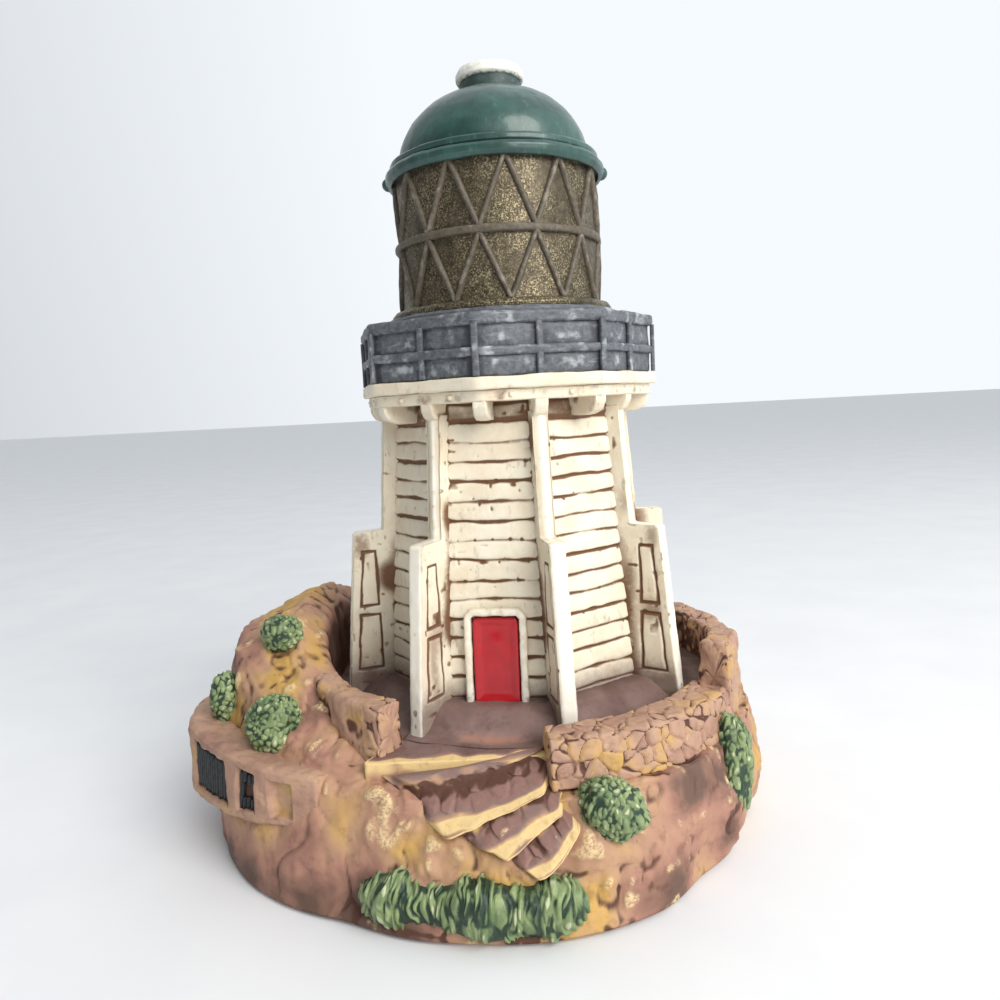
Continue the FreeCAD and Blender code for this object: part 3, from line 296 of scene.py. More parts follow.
def ended(grid, rows=8, bulge=0.6):
    """Grid with a domed end added before its first and after its last row: copies of that row shrink to their
    middle by the cosine of an angle and stand out by its sine."""
    turn = np.linspace(0.0, 0.5 * math.pi, rows + 1)[1:-1]
    middle_a, middle_b = grid[0].mean(axis=0), grid[-1].mean(axis=0)
    out_a, out_b = unit(middle_a - grid[2].mean(axis=0)), unit(middle_b - grid[-3].mean(axis=0))

    def cap(row, middle, out, angle):
        return middle + (row - middle) * math.cos(angle) ** 0.5 + bulge * math.sin(angle) * out

    before = [cap(grid[0], middle_a, out_a, angle) for angle in turn[::-1]]
    after = [cap(grid[-1], middle_b, out_b, angle) for angle in turn]
    return np.concatenate([np.stack(before), grid, np.stack(after)])


def lathe(profile, columns=180, wobble=0.0, seed=1, cell=4.0):
    """Turned grid: each profile point (radius, height) is carried round the axis, and roughened along its
    normal."""
    bearing = all_round(columns)
    profile = np.asarray(profile, float)
    grid = place(bearing[None, :], profile[:, 0][:, None], profile[:, 1][:, None])
    if wobble:
        grid = pushed(grid, wobble * rough(grid, cell, seed))
    return grid


def eight_sided(bearing, softness=70.0):
    """Radius of a regular octagon with its corners at 0, 45, ... degrees and corner radius 1, softened at the
    corners: the reciprocal of a high-order mean of the cosines to its eight sides."""
    normals = np.arange(8) * SIDE_DEG + HALF_SIDE
    cosines = np.clip(np.cos(np.radians(bearing[..., None] - normals)), 0.0, 1.0)
    return math.cos(math.radians(HALF_SIDE)) / np.sum(cosines ** softness, axis=-1) ** (1.0 / softness)


def octagon_ring(section, columns=560, softness=70.0):
    """Section of (corner radius, height) points carried round an octagonal path. Rows are bearings, columns the
    section."""
    bearing = all_round(columns)
    section = np.asarray(section, float)
    scale = eight_sided(bearing, softness)
    return place(bearing[:, None], scale[:, None] * section[None, :, 0], section[None, :, 1])


def rounded(low_r, high_r, low_z, high_z, radius, per_side=6, per_corner=4):
    """Closed section of a rectangle with rounded corners, as (radius, height) points."""
    corners = [(high_r - radius, low_z + radius, -90.0), (high_r - radius, high_z - radius, 0.0),
               (low_r + radius, high_z - radius, 90.0), (low_r + radius, low_z + radius, 180.0)]
    arcs = []
    for cr, cz, start in corners:
        angle = np.radians(np.linspace(start, start + 90.0, per_corner))
        arcs.append(np.stack([cr + radius * np.cos(angle), cz + radius * np.sin(angle)], axis=-1))
    t = np.linspace(0.0, 1.0, per_side + 2)[1:-1, None]
    sides = [a[-1] + (b[0] - a[-1]) * t for a, b in zip(arcs, arcs[1:] + arcs[:1])]
    return np.concatenate([part for pair in zip(arcs, sides) for part in pair])


def edge_relief(grid, ring=False, reach=3, gain=1.4):
    """Relief from shape: 0.5 on flats, more where a point stands out from its neighbours and less in
    hollows."""
    normal = directions(grid, ring)
    blurred = relaxed(relaxed(grid, reach, axis=0, wrap=ring), reach, axis=1, wrap=True)
    return np.clip(0.5 + gain * np.sum((grid - blurred) * normal, axis=-1), 0.0, 1.0)


# ---------------------------------------------------------------- paint
class Paint:
    """Small builder for a procedural paint: every node reads Object coordinates or the piece's own
    attributes."""

    def __init__(self, name, roughness=0.6, specular=0.4, metallic=0.0, coat=0.0):
        self.material = bpy.data.materials.new(name)
        self.material.use_nodes = True
        self.tree = self.material.node_tree
        self.nodes = self.tree.nodes
        self.shader = next(n for n in self.nodes if n.type == "BSDF_PRINCIPLED")
        self.shader.inputs["Roughness"].default_value = roughness
        self.shader.inputs["Specular IOR Level"].default_value = specular
        self.shader.inputs["Metallic"].default_value = metallic
        self.shader.inputs["Coat Weight"].default_value = coat
        self.shader.inputs["Coat Roughness"].default_value = 0.15
        self.where = self.nodes.new("ShaderNodeTexCoord").outputs["Object"]

    def link(self, output, socket):
        """Join one node's output to another's input."""
        self.tree.links.new(output, socket)

    def feed(self, value, socket):
        """Give a socket another node's output, a number or a colour."""
        if isinstance(value, bpy.types.NodeSocket):
            self.link(value, socket)
        elif isinstance(value, (int, float)):
            socket.default_value = value
        else:
            socket.default_value = (*value[:3], 1.0)

    def attribute(self, name):
        """Value of one of the piece's point attributes."""
        node = self.nodes.new("ShaderNodeAttribute")
        node.attribute_name = name
        return node.outputs["Fac"]

    def noise(self, size, detail=4.0, roughness=0.6, stretch=(1.0, 1.0, 1.0), distortion=0.0):
        """Noise whose features are about a size in millimetres."""
        mapping = self.nodes.new("ShaderNodeMapping")
        mapping.inputs["Scale"].default_value = stretch
        self.link(self.where, mapping.inputs["Vector"])
        node = self.nodes.new("ShaderNodeTexNoise")
        node.inputs["Scale"].default_value = 1.0 / (size * MM)
        node.inputs["Detail"].default_value = detail
        node.inputs["Roughness"].default_value = roughness
        node.inputs["Distortion"].default_value = distortion
        self.link(mapping.outputs["Vector"], node.inputs["Vector"])
        return node.outputs["Fac"]

    def height(self):
        """Height above the ground in metres."""
        split = self.nodes.new("ShaderNodeSeparateXYZ")
        self.link(self.where, split.inputs["Vector"])
        return split.outputs["Z"]

    def band(self, value, low, high):
        """0 to 1 as a value goes from low to high, smoothly."""
        node = self.nodes.new("ShaderNodeMapRange")
        node.interpolation_type = "SMOOTHSTEP"
        node.inputs["From Min"].default_value = low
        node.inputs["From Max"].default_value = high
        self.link(value, node.inputs["Value"])
        return node.outputs["Result"]

    def times(self, a, b):
        """Product, kept between 0 and 1."""
        return self.sum(a, b, "MULTIPLY")

    def sum(self, a, b, operation="ADD"):
        """Sum, or what another operation gives, kept between 0 and 1."""
        node = self.nodes.new("ShaderNodeMath")
        node.operation = operation
        node.use_clamp = True
        for socket, value in zip(node.inputs, (a, b)):
            self.feed(value, socket)
        return node.outputs["Value"]

    def broken(self, relief, grain, share):
        """Relief made uneven by a share of a fine grain, so that paint ends in a ragged line."""
        return self.sum(relief, self.sum(self.times(grain, share), -share / 2))

    def dab(self, under, colour, value, low, high, share):
        """A share of a colour painted over another where a value goes from low to high."""
        return self.over(under, colour, self.times(self.band(value, low, high), share))

    def ramp(self, value, stops):
        """Colour for each value, from (place, colour) stops."""
        node = self.nodes.new("ShaderNodeValToRGB")
        ramp = node.color_ramp
        while len(ramp.elements) < len(stops):
            ramp.elements.new(0.5)
        for element, (where, colour) in zip(ramp.elements, stops):
            element.position = where
            element.color = (*colour[:3], 1.0)
        self.link(value, node.inputs["Fac"])
        return node.outputs["Color"]

    def over(self, under, colour, amount):
        """One colour painted over another by an amount."""
        node = self.nodes.new("ShaderNodeMix")
        node.data_type = "RGBA"
        fac, a, b = node.inputs[0], node.inputs[6], node.inputs[7]
        for socket, value in ((fac, amount), (a, under), (b, colour)):
            self.feed(value, socket)
        return node.outputs[2]

    def gloss(self, value, low, high):
        """Roughness that goes from low to high with a value."""
        node = self.nodes.new("ShaderNodeMapRange")
        node.inputs["To Min"].default_value = low
        node.inputs["To Max"].default_value = high
        self.link(value, node.inputs["Value"])
        self.link(node.outputs["Result"], self.shader.inputs["Roughness"])

    def bump(self, value, strength, distance):
        """Fine surface relief, its depth in millimetres."""
        node = self.nodes.new("ShaderNodeBump")
        node.inputs["Strength"].default_value = strength
        node.inputs["Distance"].default_value = distance * MM
        self.link(value, node.inputs["Height"])
        self.link(node.outputs["Normal"], self.shader.inputs["Normal"])

    def done(self, colour):
        """The finished material, with its base colour."""
        self.link(colour, self.shader.inputs["Base Color"])
        return self.material


def washed_paint(name, bases, wash, highlight, patch=9.0, grime=2.2, roughness=0.62, groove=0.42, edge=0.72,
                 speckle=0.25, dirt=0.4, specular=0.35, by_tone=0.25):
    """Painted resin: patchy base colours, a dark wash in the grooves, in stains and wherever the relief is
    lowered for painted shade, and a dry-brushed highlight."""
    paint = Paint(name, roughness=roughness, specular=specular)
    relief = paint.attribute("relief")
    tone = paint.attribute("tone")
    patches = paint.noise(patch, 3.0, 0.55, distortion=0.6)
    fine = paint.noise(grime, 6.0, 0.65)
    dots = paint.noise(0.5, 4.0, 0.7)
    mixed = paint.sum(paint.times(patches, 1.0 - by_tone), paint.times(tone, by_tone))
    stops = [(0.30 + 0.42 * i / max(1, len(bases) - 1), c) for i, c in enumerate(bases)]
    colour = paint.ramp(mixed, stops)
    colour = paint.dab(colour, wash, fine, 0.5, 0.72, dirt)
    broken = paint.broken(relief, fine, 0.3)
    colour = paint.over(wash, colour, paint.band(broken, groove - 0.22, groove))
    brushed = paint.times(paint.band(broken, edge, edge + 0.2), paint.band(dots, 0.35, 0.6))
    colour = paint.over(colour, highlight, brushed)
    colour = paint.dab(colour, highlight, dots, 0.62, 0.75, speckle)
    paint.gloss(fine, roughness - 0.12, roughness + 0.12)
    paint.bump(paint.sum(paint.times(fine, 0.5), paint.times(dots, 0.5)), 0.35, 0.25)
    return paint.done(colour)


def cream_paint(colours):
    """Ivory paint with brown wash in the grooves and painted shade in the corners, under the frieze and on the
    board laps, pinkish rubbed patches and a plum stain near the ground.
    """
    paint = Paint("cream_paint", roughness=0.5, specular=0.4)
    relief = paint.attribute("relief")
    broad = paint.noise(7.0, 4.0, 0.6)
    fine = paint.noise(1.3, 6.0, 0.65)
    streaks = paint.noise(2.2, 5.0, 0.7, stretch=(1.0, 1.0, 0.35))
    colour = paint.ramp(broad, [(0.3, colours.cream_shade), (0.62, colours.cream)])
    colour = paint.dab(colour, colours.cream_wash_and_shade, streaks, 0.56, 0.74, 0.5)
    broken = paint.broken(relief, fine, 0.36)
    # Brown where the relief is low: the wash in the grooves, and painted shade in the corners, under the frieze
    # and on the laps.
    colour = paint.over(colours.cream_wash_and_shade, colour, paint.band(broken, 0.16, 0.44))
    foot = paint.band(paint.sum(paint.height(), paint.times(fine, 0.004), "SUBTRACT"), 0.0325, 0.0255)
    colour = paint.over(colour, colours.court, paint.times(foot, 0.8))
    colour = paint.dab(colour, (0.93, 0.9, 0.8), broken, 0.7, 0.9, 0.7)
    paint.gloss(fine, 0.38, 0.62)
    paint.bump(fine, 0.3, 0.2)
    return paint.done(colour)


def slate_paint(colours):
    """Dark slate paint dry-brushed with white along the edges and in soft strokes."""
    paint = Paint("slate_paint", roughness=0.5, specular=0.4)
    relief = paint.attribute("relief")
    fine = paint.noise(1.1, 6.0, 0.7)
    strokes = paint.noise(2.0, 4.0, 0.6, stretch=(0.55, 0.55, 2.4), distortion=0.8)
    colour = paint.ramp(fine, [(0.3, colours.slate_dark), (0.75, colours.slate)])
    broken = paint.broken(relief, fine, 0.5)
    colour = paint.over(colours.slate_dark, colour, paint.band(broken, 0.2, 0.45))
    colour = paint.dab(colour, colours.slate_light, strokes, 0.52, 0.8, 0.5)
    colour = paint.dab(colour, (0.62, 0.66, 0.68), broken, 0.66, 0.92, 0.6)
    paint.gloss(fine, 0.4, 0.6)
    paint.bump(fine, 0.35, 0.2)
    return paint.done(colour)


def bronze_paint(colours):
    """Dark bronze ground with a scatter of gold flakes, thickest in patches."""
    paint = Paint("bronze_paint", roughness=0.42, specular=0.5, metallic=0.55)
    flakes = paint.noise(0.34, 3.0, 0.8)
    patches = paint.noise(9.0, 3.0, 0.6)
    fine = paint.noise(1.4, 5.0, 0.6)
    colour = paint.ramp(fine, [(0.3, colours.bronze_dark), (0.7, colours.bronze)])
    amount = paint.times(paint.band(flakes, 0.5, 0.62), paint.band(patches, 0.25, 0.7))
    colour = paint.over(colour, colours.gold, amount)
    paint.gloss(flakes, 0.55, 0.28)
    paint.bump(flakes, 0.4, 0.15)
    return paint.done(colour)


def lattice_paint(colours):
    """Grey-brown paint on the glazing bars, rubbed paler on the edges."""
    paint = Paint("lattice_paint", roughness=0.5, specular=0.4)
    relief = paint.attribute("relief")
    fine = paint.noise(0.8, 5.0, 0.7)
    colour = paint.ramp(fine, [(0.3, colours.lattice_dark), (0.7, colours.lattice)])
    broken = paint.broken(relief, fine, 0.5)
    colour = paint.dab(colour, (0.42, 0.37, 0.29), broken, 0.55, 0.9, 0.5)
    paint.bump(fine, 0.4, 0.2)
    return paint.done(colour)


def green_paint(colours):
    """Dull bottle-green satin paint, paler on the edges, in pale and dark brushed streaks."""
    paint = Paint("green_paint", roughness=0.36, specular=0.5, coat=0.25)
    relief = paint.attribute("relief")
    fine = paint.noise(1.2, 5.0, 0.65)
    broad = paint.noise(10.0, 3.0, 0.55, stretch=(1.0, 1.0, 1.8))
    colour = paint.ramp(broad, [(0.32, colours.green_dark), (0.68, colours.green)])
    broken = paint.broken(relief, fine, 0.4)
    colour = paint.over((0.02, 0.06, 0.05), colour, paint.band(broken, 0.12, 0.4))
    colour = paint.dab(colour, colours.green_light, broken, 0.62, 0.9, 0.75)
    streaks = paint.noise(1.6, 5.0, 0.7, stretch=(1.0, 1.0, 0.3))
    colour = paint.dab(colour, colours.green_light, streaks, 0.55, 0.75, 0.22)
    colour = paint.dab(colour, colours.green_dark, streaks, 0.48, 0.3, 0.6)
    paint.gloss(fine, 0.26, 0.48)
    paint.bump(fine, 0.25, 0.15)
    return paint.done(colour)


def chipped_white(colours):
    """Off-white paint on the cap, worn through to grey-green in flecks towards its lower edge."""
    paint = Paint("cap_paint", roughness=0.55, specular=0.35)
    fine = paint.noise(0.9, 5.0, 0.7)
    colour = paint.ramp(fine, [(0.25, (0.62, 0.6, 0.5)), (0.55, colours.cap)])
    worn = paint.times(paint.band(paint.height(), 0.1476, 0.1466), paint.band(fine, 0.42, 0.55))
    colour = paint.over(colour, (0.2, 0.24, 0.22), worn)
    paint.bump(fine, 0.3, 0.2)
    return paint.done(colour)


def neck_paint():
    """Grey-green paint on the vent neck with a dusty pale film."""
    paint = Paint("neck_paint", roughness=0.5)
    fine = paint.noise(1.5, 5.0, 0.7)
    colour = paint.ramp(fine, [(0.3, (0.02, 0.045, 0.04)), (0.6, (0.06, 0.09, 0.085)), (0.85, (0.2, 0.23, 0.23))])
    paint.bump(fine, 0.3, 0.2)
    return paint.done(colour)


def door_gloss(colours):
    """Thick gloss red that pools darker round the edge of the leaf."""
    paint = Paint("door_paint", roughness=0.24, specular=0.4, coat=0.3)
    relief = paint.attribute("relief")
    fine = paint.noise(2.6, 3.0, 0.5)
    colour = paint.ramp(fine, [(0.3, colours.door), (0.75, tuple(min(1.0, 1.2 * c) for c in colours.door))])
    colour = paint.over((0.16, 0.01, 0.01), colour, paint.band(relief, 0.1, 0.42))
    paint.bump(fine, 0.25, 0.4)
    return paint.done(colour)


def foliage_paint(colours):
    """Leaf green over a near-black ground, with a painted highlight on the tips."""
    paint = Paint("foliage_paint", roughness=0.45, specular=0.45)
    relief = paint.attribute("relief")
    fine = paint.noise(0.9, 5.0, 0.7)
    broad = paint.noise(4.0, 3.0, 0.5)
    colour = paint.ramp(broad, [(0.32, colours.leaf_dark), (0.66, colours.leaf)])
    broken = paint.broken(relief, fine, 0.4)
    colour = paint.over((0.02, 0.045, 0.025), colour, paint.band(broken, 0.2, 0.46))
    # Painted highlight on the leaf tips.
    colour = paint.dab(colour, colours.leaf_highlight, broken, 0.74, 0.95, 0.8)
    paint.gloss(fine, 0.35, 0.6)
    paint.bump(fine, 0.4, 0.25)
    return paint.done(colour)


def felt_cloth():
    """Short-fibred dark green felt."""
    paint = Paint("felt", roughness=0.95, specular=0.1)
    fibres = paint.noise(0.35, 6.0, 0.8)
    paint.bump(fibres, 0.6, 0.2)
    return paint.done(paint.ramp(fibres, [(0.3, (0.02, 0.05, 0.03)), (0.7, (0.06, 0.13, 0.08))]))


def backing_resin():
    """Bare grey-beige resin of the hidden core."""
    paint = Paint("core_resin", roughness=0.7, specular=0.3)
    fine = paint.noise(2.0, 5.0, 0.6)
    paint.bump(fine, 0.2, 0.2)
    return paint.done(paint.ramp(fine, [(0.3, (0.5, 0.44, 0.38)), (0.7, (0.62, 0.57, 0.5))]))


# ---------------------------------------------------------------- rock
ROCK_DEG = np.arange(16) * 22.5
FOOT_OUT = np.array([11.0, 10.0, 5.0, 2.0, 1.5, 3.5, 6.5, 8.5, 9.5, 10.5, 12.5, 15.5, 17.5, 18.0, 16.5, 12.0])
MID_OUT = np.array([8.0, 8.0, 6.0, 5.0, 4.5, 5.5, 7.5, 8.5, 9.0, 10.0, 13.0, 17.0, 19.5, 19.5, 15.5, 9.5])
BED_OUT = np.array([3.0, 3.5, 2.5, 2.5, 2.5, 3.5, 4.0, 4.5, 5.0, 7.0, 11.0, 15.5, 18.5, 18.0, 11.5, 5.0])
FOLD_DEG = np.arange(32) * 11.25
FOLD_OUT = np.array([0.0, 0.4, -0.8, 1.3, -1.2, 0.9, -0.7, 1.0, -0.9, 1.1, -0.9, 0.8, -1.0, 1.2, -1.0, 0.9,
                     -1.1, 0.9, -1.0, 1.2, -0.9, 1.0, -1.0, 0.8, -0.6, 0.6, -0.4, 0.5, 0.1, 0.6, -0.6, 0.5])
MOUND_DEG = np.array([-150.0, -135.0, -124.0, -112.5, -101.0, -90.0, -79.0, -67.5, -56.0, -45.0, -35.0, -26.0,
                      -12.0])
MOUND_WALL_RISE = np.array([0.5, 5.0, 10.0, 16.5, 19.5, 21.0, 19.2, 17.5, 13.5, 7.0, 4.5, 1.5, 0.3])
MOUND_RIDGE_OUT = np.array([6.0, 6.5, 6.8, 5.5, 6.2, 5.0, 5.9, 5.0, 6.5, 7.0, 6.4, 6.5, 6.0])
MOUND_RIDGE_RISE = np.array([1.0, 7.0, 12.9, 20.5, 24.0, 25.0, 23.4, 22.0, 16.0, 9.0, 5.9, 2.5, 0.3])
MOUND_SHOULDER_OUT = np.array([9.5, 12.0, 14.4, 15.0, 17.3, 17.5, 18.9, 18.0, 15.0, 13.0, 11.6, 8.5, 8.0])
MOUND_SHOULDER_RISE = np.array([0.8, 4.0, 7.5, 13.0, 17.0, 18.5, 18.6, 16.5, 11.0, 5.5, 3.5, 1.5, 0.2])
MOUND_WAIST_OUT = np.array([0.0, 0.0, 1.0, -0.9, 1.0, -1.1, 1.0, -0.8, 0.9, -0.4, 0.5, 0.0, 0.0])
# How quiet the side of the rock is, by bearing: 1 where it has few wrinkles, at the left of the front.
QUIET_DEG = np.array([-90.0, -66.0, -50.0, -30.0, -15.0, 0.0, 60.0, 180.0])
QUIET_SHARE = np.array([0.1, 0.6, 1.0, 0.9, 0.3, 0.0, 0.0, 0.0])
# Rows of the rock's surface between the corners that rock_sides gives.
ROCK_ROWS = [14, 14, 16, 16, 20, 22, 34, 14, 12, 8]
RIDGE_ROW = sum(ROCK_ROWS[:7])
INNER_ROW = sum(ROCK_ROWS[:8])


def around(bearing, stations, values):
    """Values between stations round the object, linear, then softened over about 6 degrees."""
    fine = np.arange(0.0, 360.0, 1.0)
    soft = relaxed(np.interp(fine, stations % 360.0, values, period=360.0), 6, wrap=True)
    return np.interp(bearing % 360.0, fine, soft, period=360.0)


def rock_bearings(count):
    """Bearings packed closer at the front than at the back: b = t - 28 sin(t + 10), with t even round the
    circle."""
    t = all_round(count)
    return t - 28.0 * np.sin(np.radians(t + 10.0))


def rock_sides(bearing):
    """Profile of the rock for each bearing as (radius, height) corners: from the foot up the side, over the
    shoulder and ridge, and down the inside of the court. Where there is no mound, the last corners lie flat on
    the bed."""
    fold = around(bearing, FOLD_DEG, FOLD_OUT)
    foot = WALL_OUT_R + around(bearing, ROCK_DEG, FOOT_OUT)
    middle = WALL_OUT_R + around(bearing, ROCK_DEG, MID_OUT)
    bed = WALL_OUT_R + around(bearing, ROCK_DEG, BED_OUT)
    shoulder = np.minimum(COURT_R + around(bearing, MOUND_DEG, MOUND_SHOULDER_OUT), bed - 0.6)
    shoulder_z = BED_Z + around(bearing, MOUND_DEG, MOUND_SHOULDER_RISE)
    ridge = np.minimum(COURT_R + around(bearing, MOUND_DEG, MOUND_RIDGE_OUT), shoulder - 0.6)
    ridge_z = BED_Z + around(bearing, MOUND_DEG, MOUND_RIDGE_RISE)
    wall_z = BED_Z + around(bearing, MOUND_DEG, MOUND_WALL_RISE)
    inner = np.full(bearing.shape, COURT_R + 0.2)
    waist = (shoulder + bed) / 2 + around(bearing, MOUND_DEG, MOUND_WAIST_OUT)
    corners = [(foot + 0.5 * fold, FELT_TOP), ((foot + middle) / 2 + fold, 5.4), (middle + 0.7 * fold, 10.0),
               ((middle + bed) / 2 - 0.6 * fold, 15.0), (bed, BED_Z), (waist, (BED_Z + shoulder_z) / 2),
               (shoulder, shoulder_z), (ridge, ridge_z), (inner, wall_z),
               (inner - 0.4, np.minimum(wall_z, BED_Z + 3.0)), (inner - 0.4, BED_Z - 0.6)]
    return np.stack([np.stack(np.broadcast_arrays(*corner), axis=-1) for corner in corners])


def rock_piece(finish):
    """Side, bed and mound in one surface. Humps and creases of three sizes are pushed along the normals, held
    back at the foot so that it stays flat."""
    bearing = rock_bearings(500)
    profile = relaxed(spread(rock_sides(bearing), ROCK_ROWS), 5)
    rows = place(bearing[None, :], profile[..., 0], profile[..., 1])
    height = profile[..., 1]
    free = step(height, FELT_TOP, FELT_TOP + 3.0)
    facets = 0.5 * rough(rows, 12.0, 11, 2)
    folds = 0.7 * (creased(rows, (8.0, 8.0, 15.0), 21) - 0.55)
    grain = 0.2 * rough(rows, 2.6, 31, 3)
    warped = rows + 2.4 * drift(rows, 6.0, 41)
    cracks, _ = stones(warped, (11.0, 11.0, 17.0), 51)
    where = step(noise(rows, 16.0, 61), -0.05, 0.35)
    split = -0.55 * where * (1.0 - step(cracks, 0.0, 0.09))
    strokes = creased(warped * np.array([1.0, 1.0, 0.5]), 3.2, 65, 2)
    quiet = step(around(bearing, QUIET_DEG, QUIET_SHARE)[None, :] + 0.2 * noise(rows, 9.0, 67), 0.3, 0.7)
    wrinkle = 0.72 * (strokes - 0.5) * (1.0 - 0.85 * quiet * (height < BED_Z - 1.0))
    signed = turned(bearing)[None, :]
    # The surface sinks behind the stairs, whose left end moves left as they climb.
    left_end = np.interp(height, [8.0, 12.0, 14.3, 16.5, 19.8, 24.0], [13.0, 5.0, -1.5, -8.8, -14.2, -21.0])
    stairs = step(signed - left_end, 0.0, 4.0) * (1.0 - step(signed, 15.0, 19.0)) * step(height, 8.0, 10.0)
    rise = (facets + folds + grain + split + wrinkle) * free * (1.0 - 0.7 * stairs) - 0.1 - 0.9 * stairs
    grid = pushed(rows, rise)
    grid[..., 2] = np.maximum(grid[..., 2], FELT_TOP)
    grid[0, :, 2] = FELT_TOP
    row = np.arange(rows.shape[0])[:, None]
    # Painted shade on the mound's inner face: its relief drops, for more wash, and its tone falls to the deepest
    # brown.
    inner_face_shade = step(row, INNER_ROW - 6, INNER_ROW + 6) * step(height, COURT_TOP, COURT_TOP + 2.0)
    ridge = np.exp(-((row - RIDGE_ROW + 14.0) / 11.0) ** 2) * step(height, 27.0, 34.0)
    relief = 0.56 + 0.45 * (folds + grain) + 0.6 * split + 0.9 * wrinkle - 0.3 * inner_face_shade
    shade = 0.55 + 0.55 * noise(rows, 17.0, 68) + 0.28 * noise(rows, 6.0, 69)
    tone = np.clip(shade, 0.05, 0.95) * (1.0 - inner_face_shade) * (1.0 - ridge) + ridge
    tone = tone - 0.1 * step(10.0 - height, 0.0, 9.0)
    return piece("rock", [grid], finish, ("rock_base", "rock_mound"), [relief], tones=[tone])


# Lines across the winder steps, from the court's brink down, each by its left end, middle and newel end as
# (bearing, radius, height). After the brink they are by turns the crevice, the riser's foot and the nosing's
# lower edge.
STEP_LINES = np.array([
    [(-18.9, 49.1, 22.1), (-4.8, 44.3, 23.4), (12.9, 41.9, 24.9)],
    [(-13.1, 49.9, 19.8), (-1.2, 46.3, 21.4), (13.0, 42.4, 24.0)],
    [(-9.7, 51.9, 17.5), (1.2, 49.2, 19.2), (13.3, 45.6, 21.8)],
    [(-6.5, 52.6, 15.5), (3.0, 50.0, 18.6), (13.5, 46.4, 21.2)],
    [(-2.9, 52.5, 15.0), (4.2, 50.8, 18.1), (13.5, 47.7, 20.3)],
    [(-0.1, 52.7, 14.2), (7.5, 51.5, 16.8), (15.5, 49.0, 19.5)],
    [(4.3, 53.4, 12.8), (10.1, 51.9, 16.1), (15.9, 49.7, 19.0)],
    [(5.8, 53.8, 12.0), (11.1, 52.1, 15.6), (15.6, 50.8, 18.2)],
    [(7.3, 54.0, 11.6), (12.7, 53.4, 13.1), (17.2, 51.5, 17.2)],
    [(9.3, 54.6, 10.4), (14.3, 53.6, 12.6), (18.2, 51.7, 16.7)],
    [(12.0, 54.8, 9.9), (15.4, 53.9, 12.0), (19.3, 52.0, 16.1)]])
# For each line, how far it stands out. For each strip between two lines, its rows, and how far it is riser or
# nosing.
STEP_OUT = np.array([0.2, -1.3, 0.6, 1.2, -1.0, 0.7, 1.2, -1.0, 0.5, 0.9, -1.4])
STEP_ROWS = [16, 26, 14, 12, 24, 14, 12, 24, 14, 12]
STEP_RISERS = np.array([0.0, 1.0, 0.0, 0.0, 1.0, 0.0, 0.0, 1.0, 0.0, 0.0])
STEP_NOSINGS = np.array([0.0, 0.0, 1.0, 0.3, 0.0, 1.0, 0.3, 0.0, 1.0, 0.3])


def steps_piece(finish):
    """Winder steps as one cast relief on the slope. Each line is a parabola through its three points; rows go
    from line to line, standing out by each line's depth, eased between them. The ends sink into the rock."""
    t = np.linspace(-0.1, 1.06, 190)
    weights = np.stack([2.0 * (t - 0.5) * (t - 1.0), -4.0 * t * (t - 1.0), 2.0 * t * (t - 0.5)])
    lines = np.einsum("kpc,pt->ktc", STEP_LINES, weights)
    rows, out, riser, nosing = [], [], [], []
    for k, count in enumerate(STEP_ROWS):
        share = np.linspace(0.0, 1.0, count, endpoint=k == len(STEP_ROWS) - 1)
        rows.append(lines[k] + (lines[k + 1] - lines[k]) * share[:, None, None])
        out.append(STEP_OUT[k] + (STEP_OUT[k + 1] - STEP_OUT[k]) * step(share, 0.0, 1.0))
        hump = np.sin(math.pi * share)
        riser.append(STEP_RISERS[k] * hump)
        nosing.append(STEP_NOSINGS[k] * hump + STEP_NOSINGS[max(0, k - 1)] * (1.0 - share) ** 4 * (k > 0))
    rows = np.concatenate(rows)
    out, riser, nosing = (np.concatenate(part)[:, None] for part in (out, riser, nosing))
    spot = place(rows[..., 0], rows[..., 1], rows[..., 2])
    pebble, tone = stones(spot + 0.7 * drift(spot, 2.4, 83), (3.6, 3.6, 3.2), 81)
    raised = step(pebble, 0.02, 0.32)
    ends = step(t, -0.1, 0.14) * (1.0 - step(t, 0.96, 1.06))
    wander = 0.35 * rough(spot, 3.0, 71, 3)
    depth = out + riser * (0.9 * raised - 0.5) + 0.3 * nosing * noise(spot, 1.8, 79) + wander
    radius = rows[..., 1] + (depth - 0.3) * ends[None, :] - 2.6 * (1.0 - ends[None, :])
    top = place(rows[..., 0], radius, rows[..., 2] - 0.35 * depth * ends[None, :])
    behind = place(rows[..., 0], np.minimum(rows[..., 1] - 4.0, 46.0), rows[..., 2] - 1.0)[:, ::-6]
    grid = np.concatenate([top, behind], axis=1)
    grid[..., 2] = np.maximum(grid[..., 2], FELT_TOP + 0.1)
    relief = np.full(grid.shape[:2], 0.5)
    shadow = np.clip(-out, 0.0, 1.3) / 1.3
    relief[:, :t.size] = 0.5 - 0.55 * shadow + riser * (0.42 * raised - 0.25) + 0.22 * nosing \
        + 0.26 * noise(spot, 1.2, 75) + 0.2 * rough(spot, 2.6, 77)
    hue = np.full(grid.shape[:2], 0.4)
    shade = 0.5 - 0.5 * riser * (0.7 + 0.3 * tone) + 0.5 * nosing + 0.3 * noise(spot, 2.6, 85)
    hue[:, :t.size] = np.clip(shade, 0.0, 1.0)
    return piece("steps", [grid], finish, ("winder_steps",), [relief], tones=[hue])


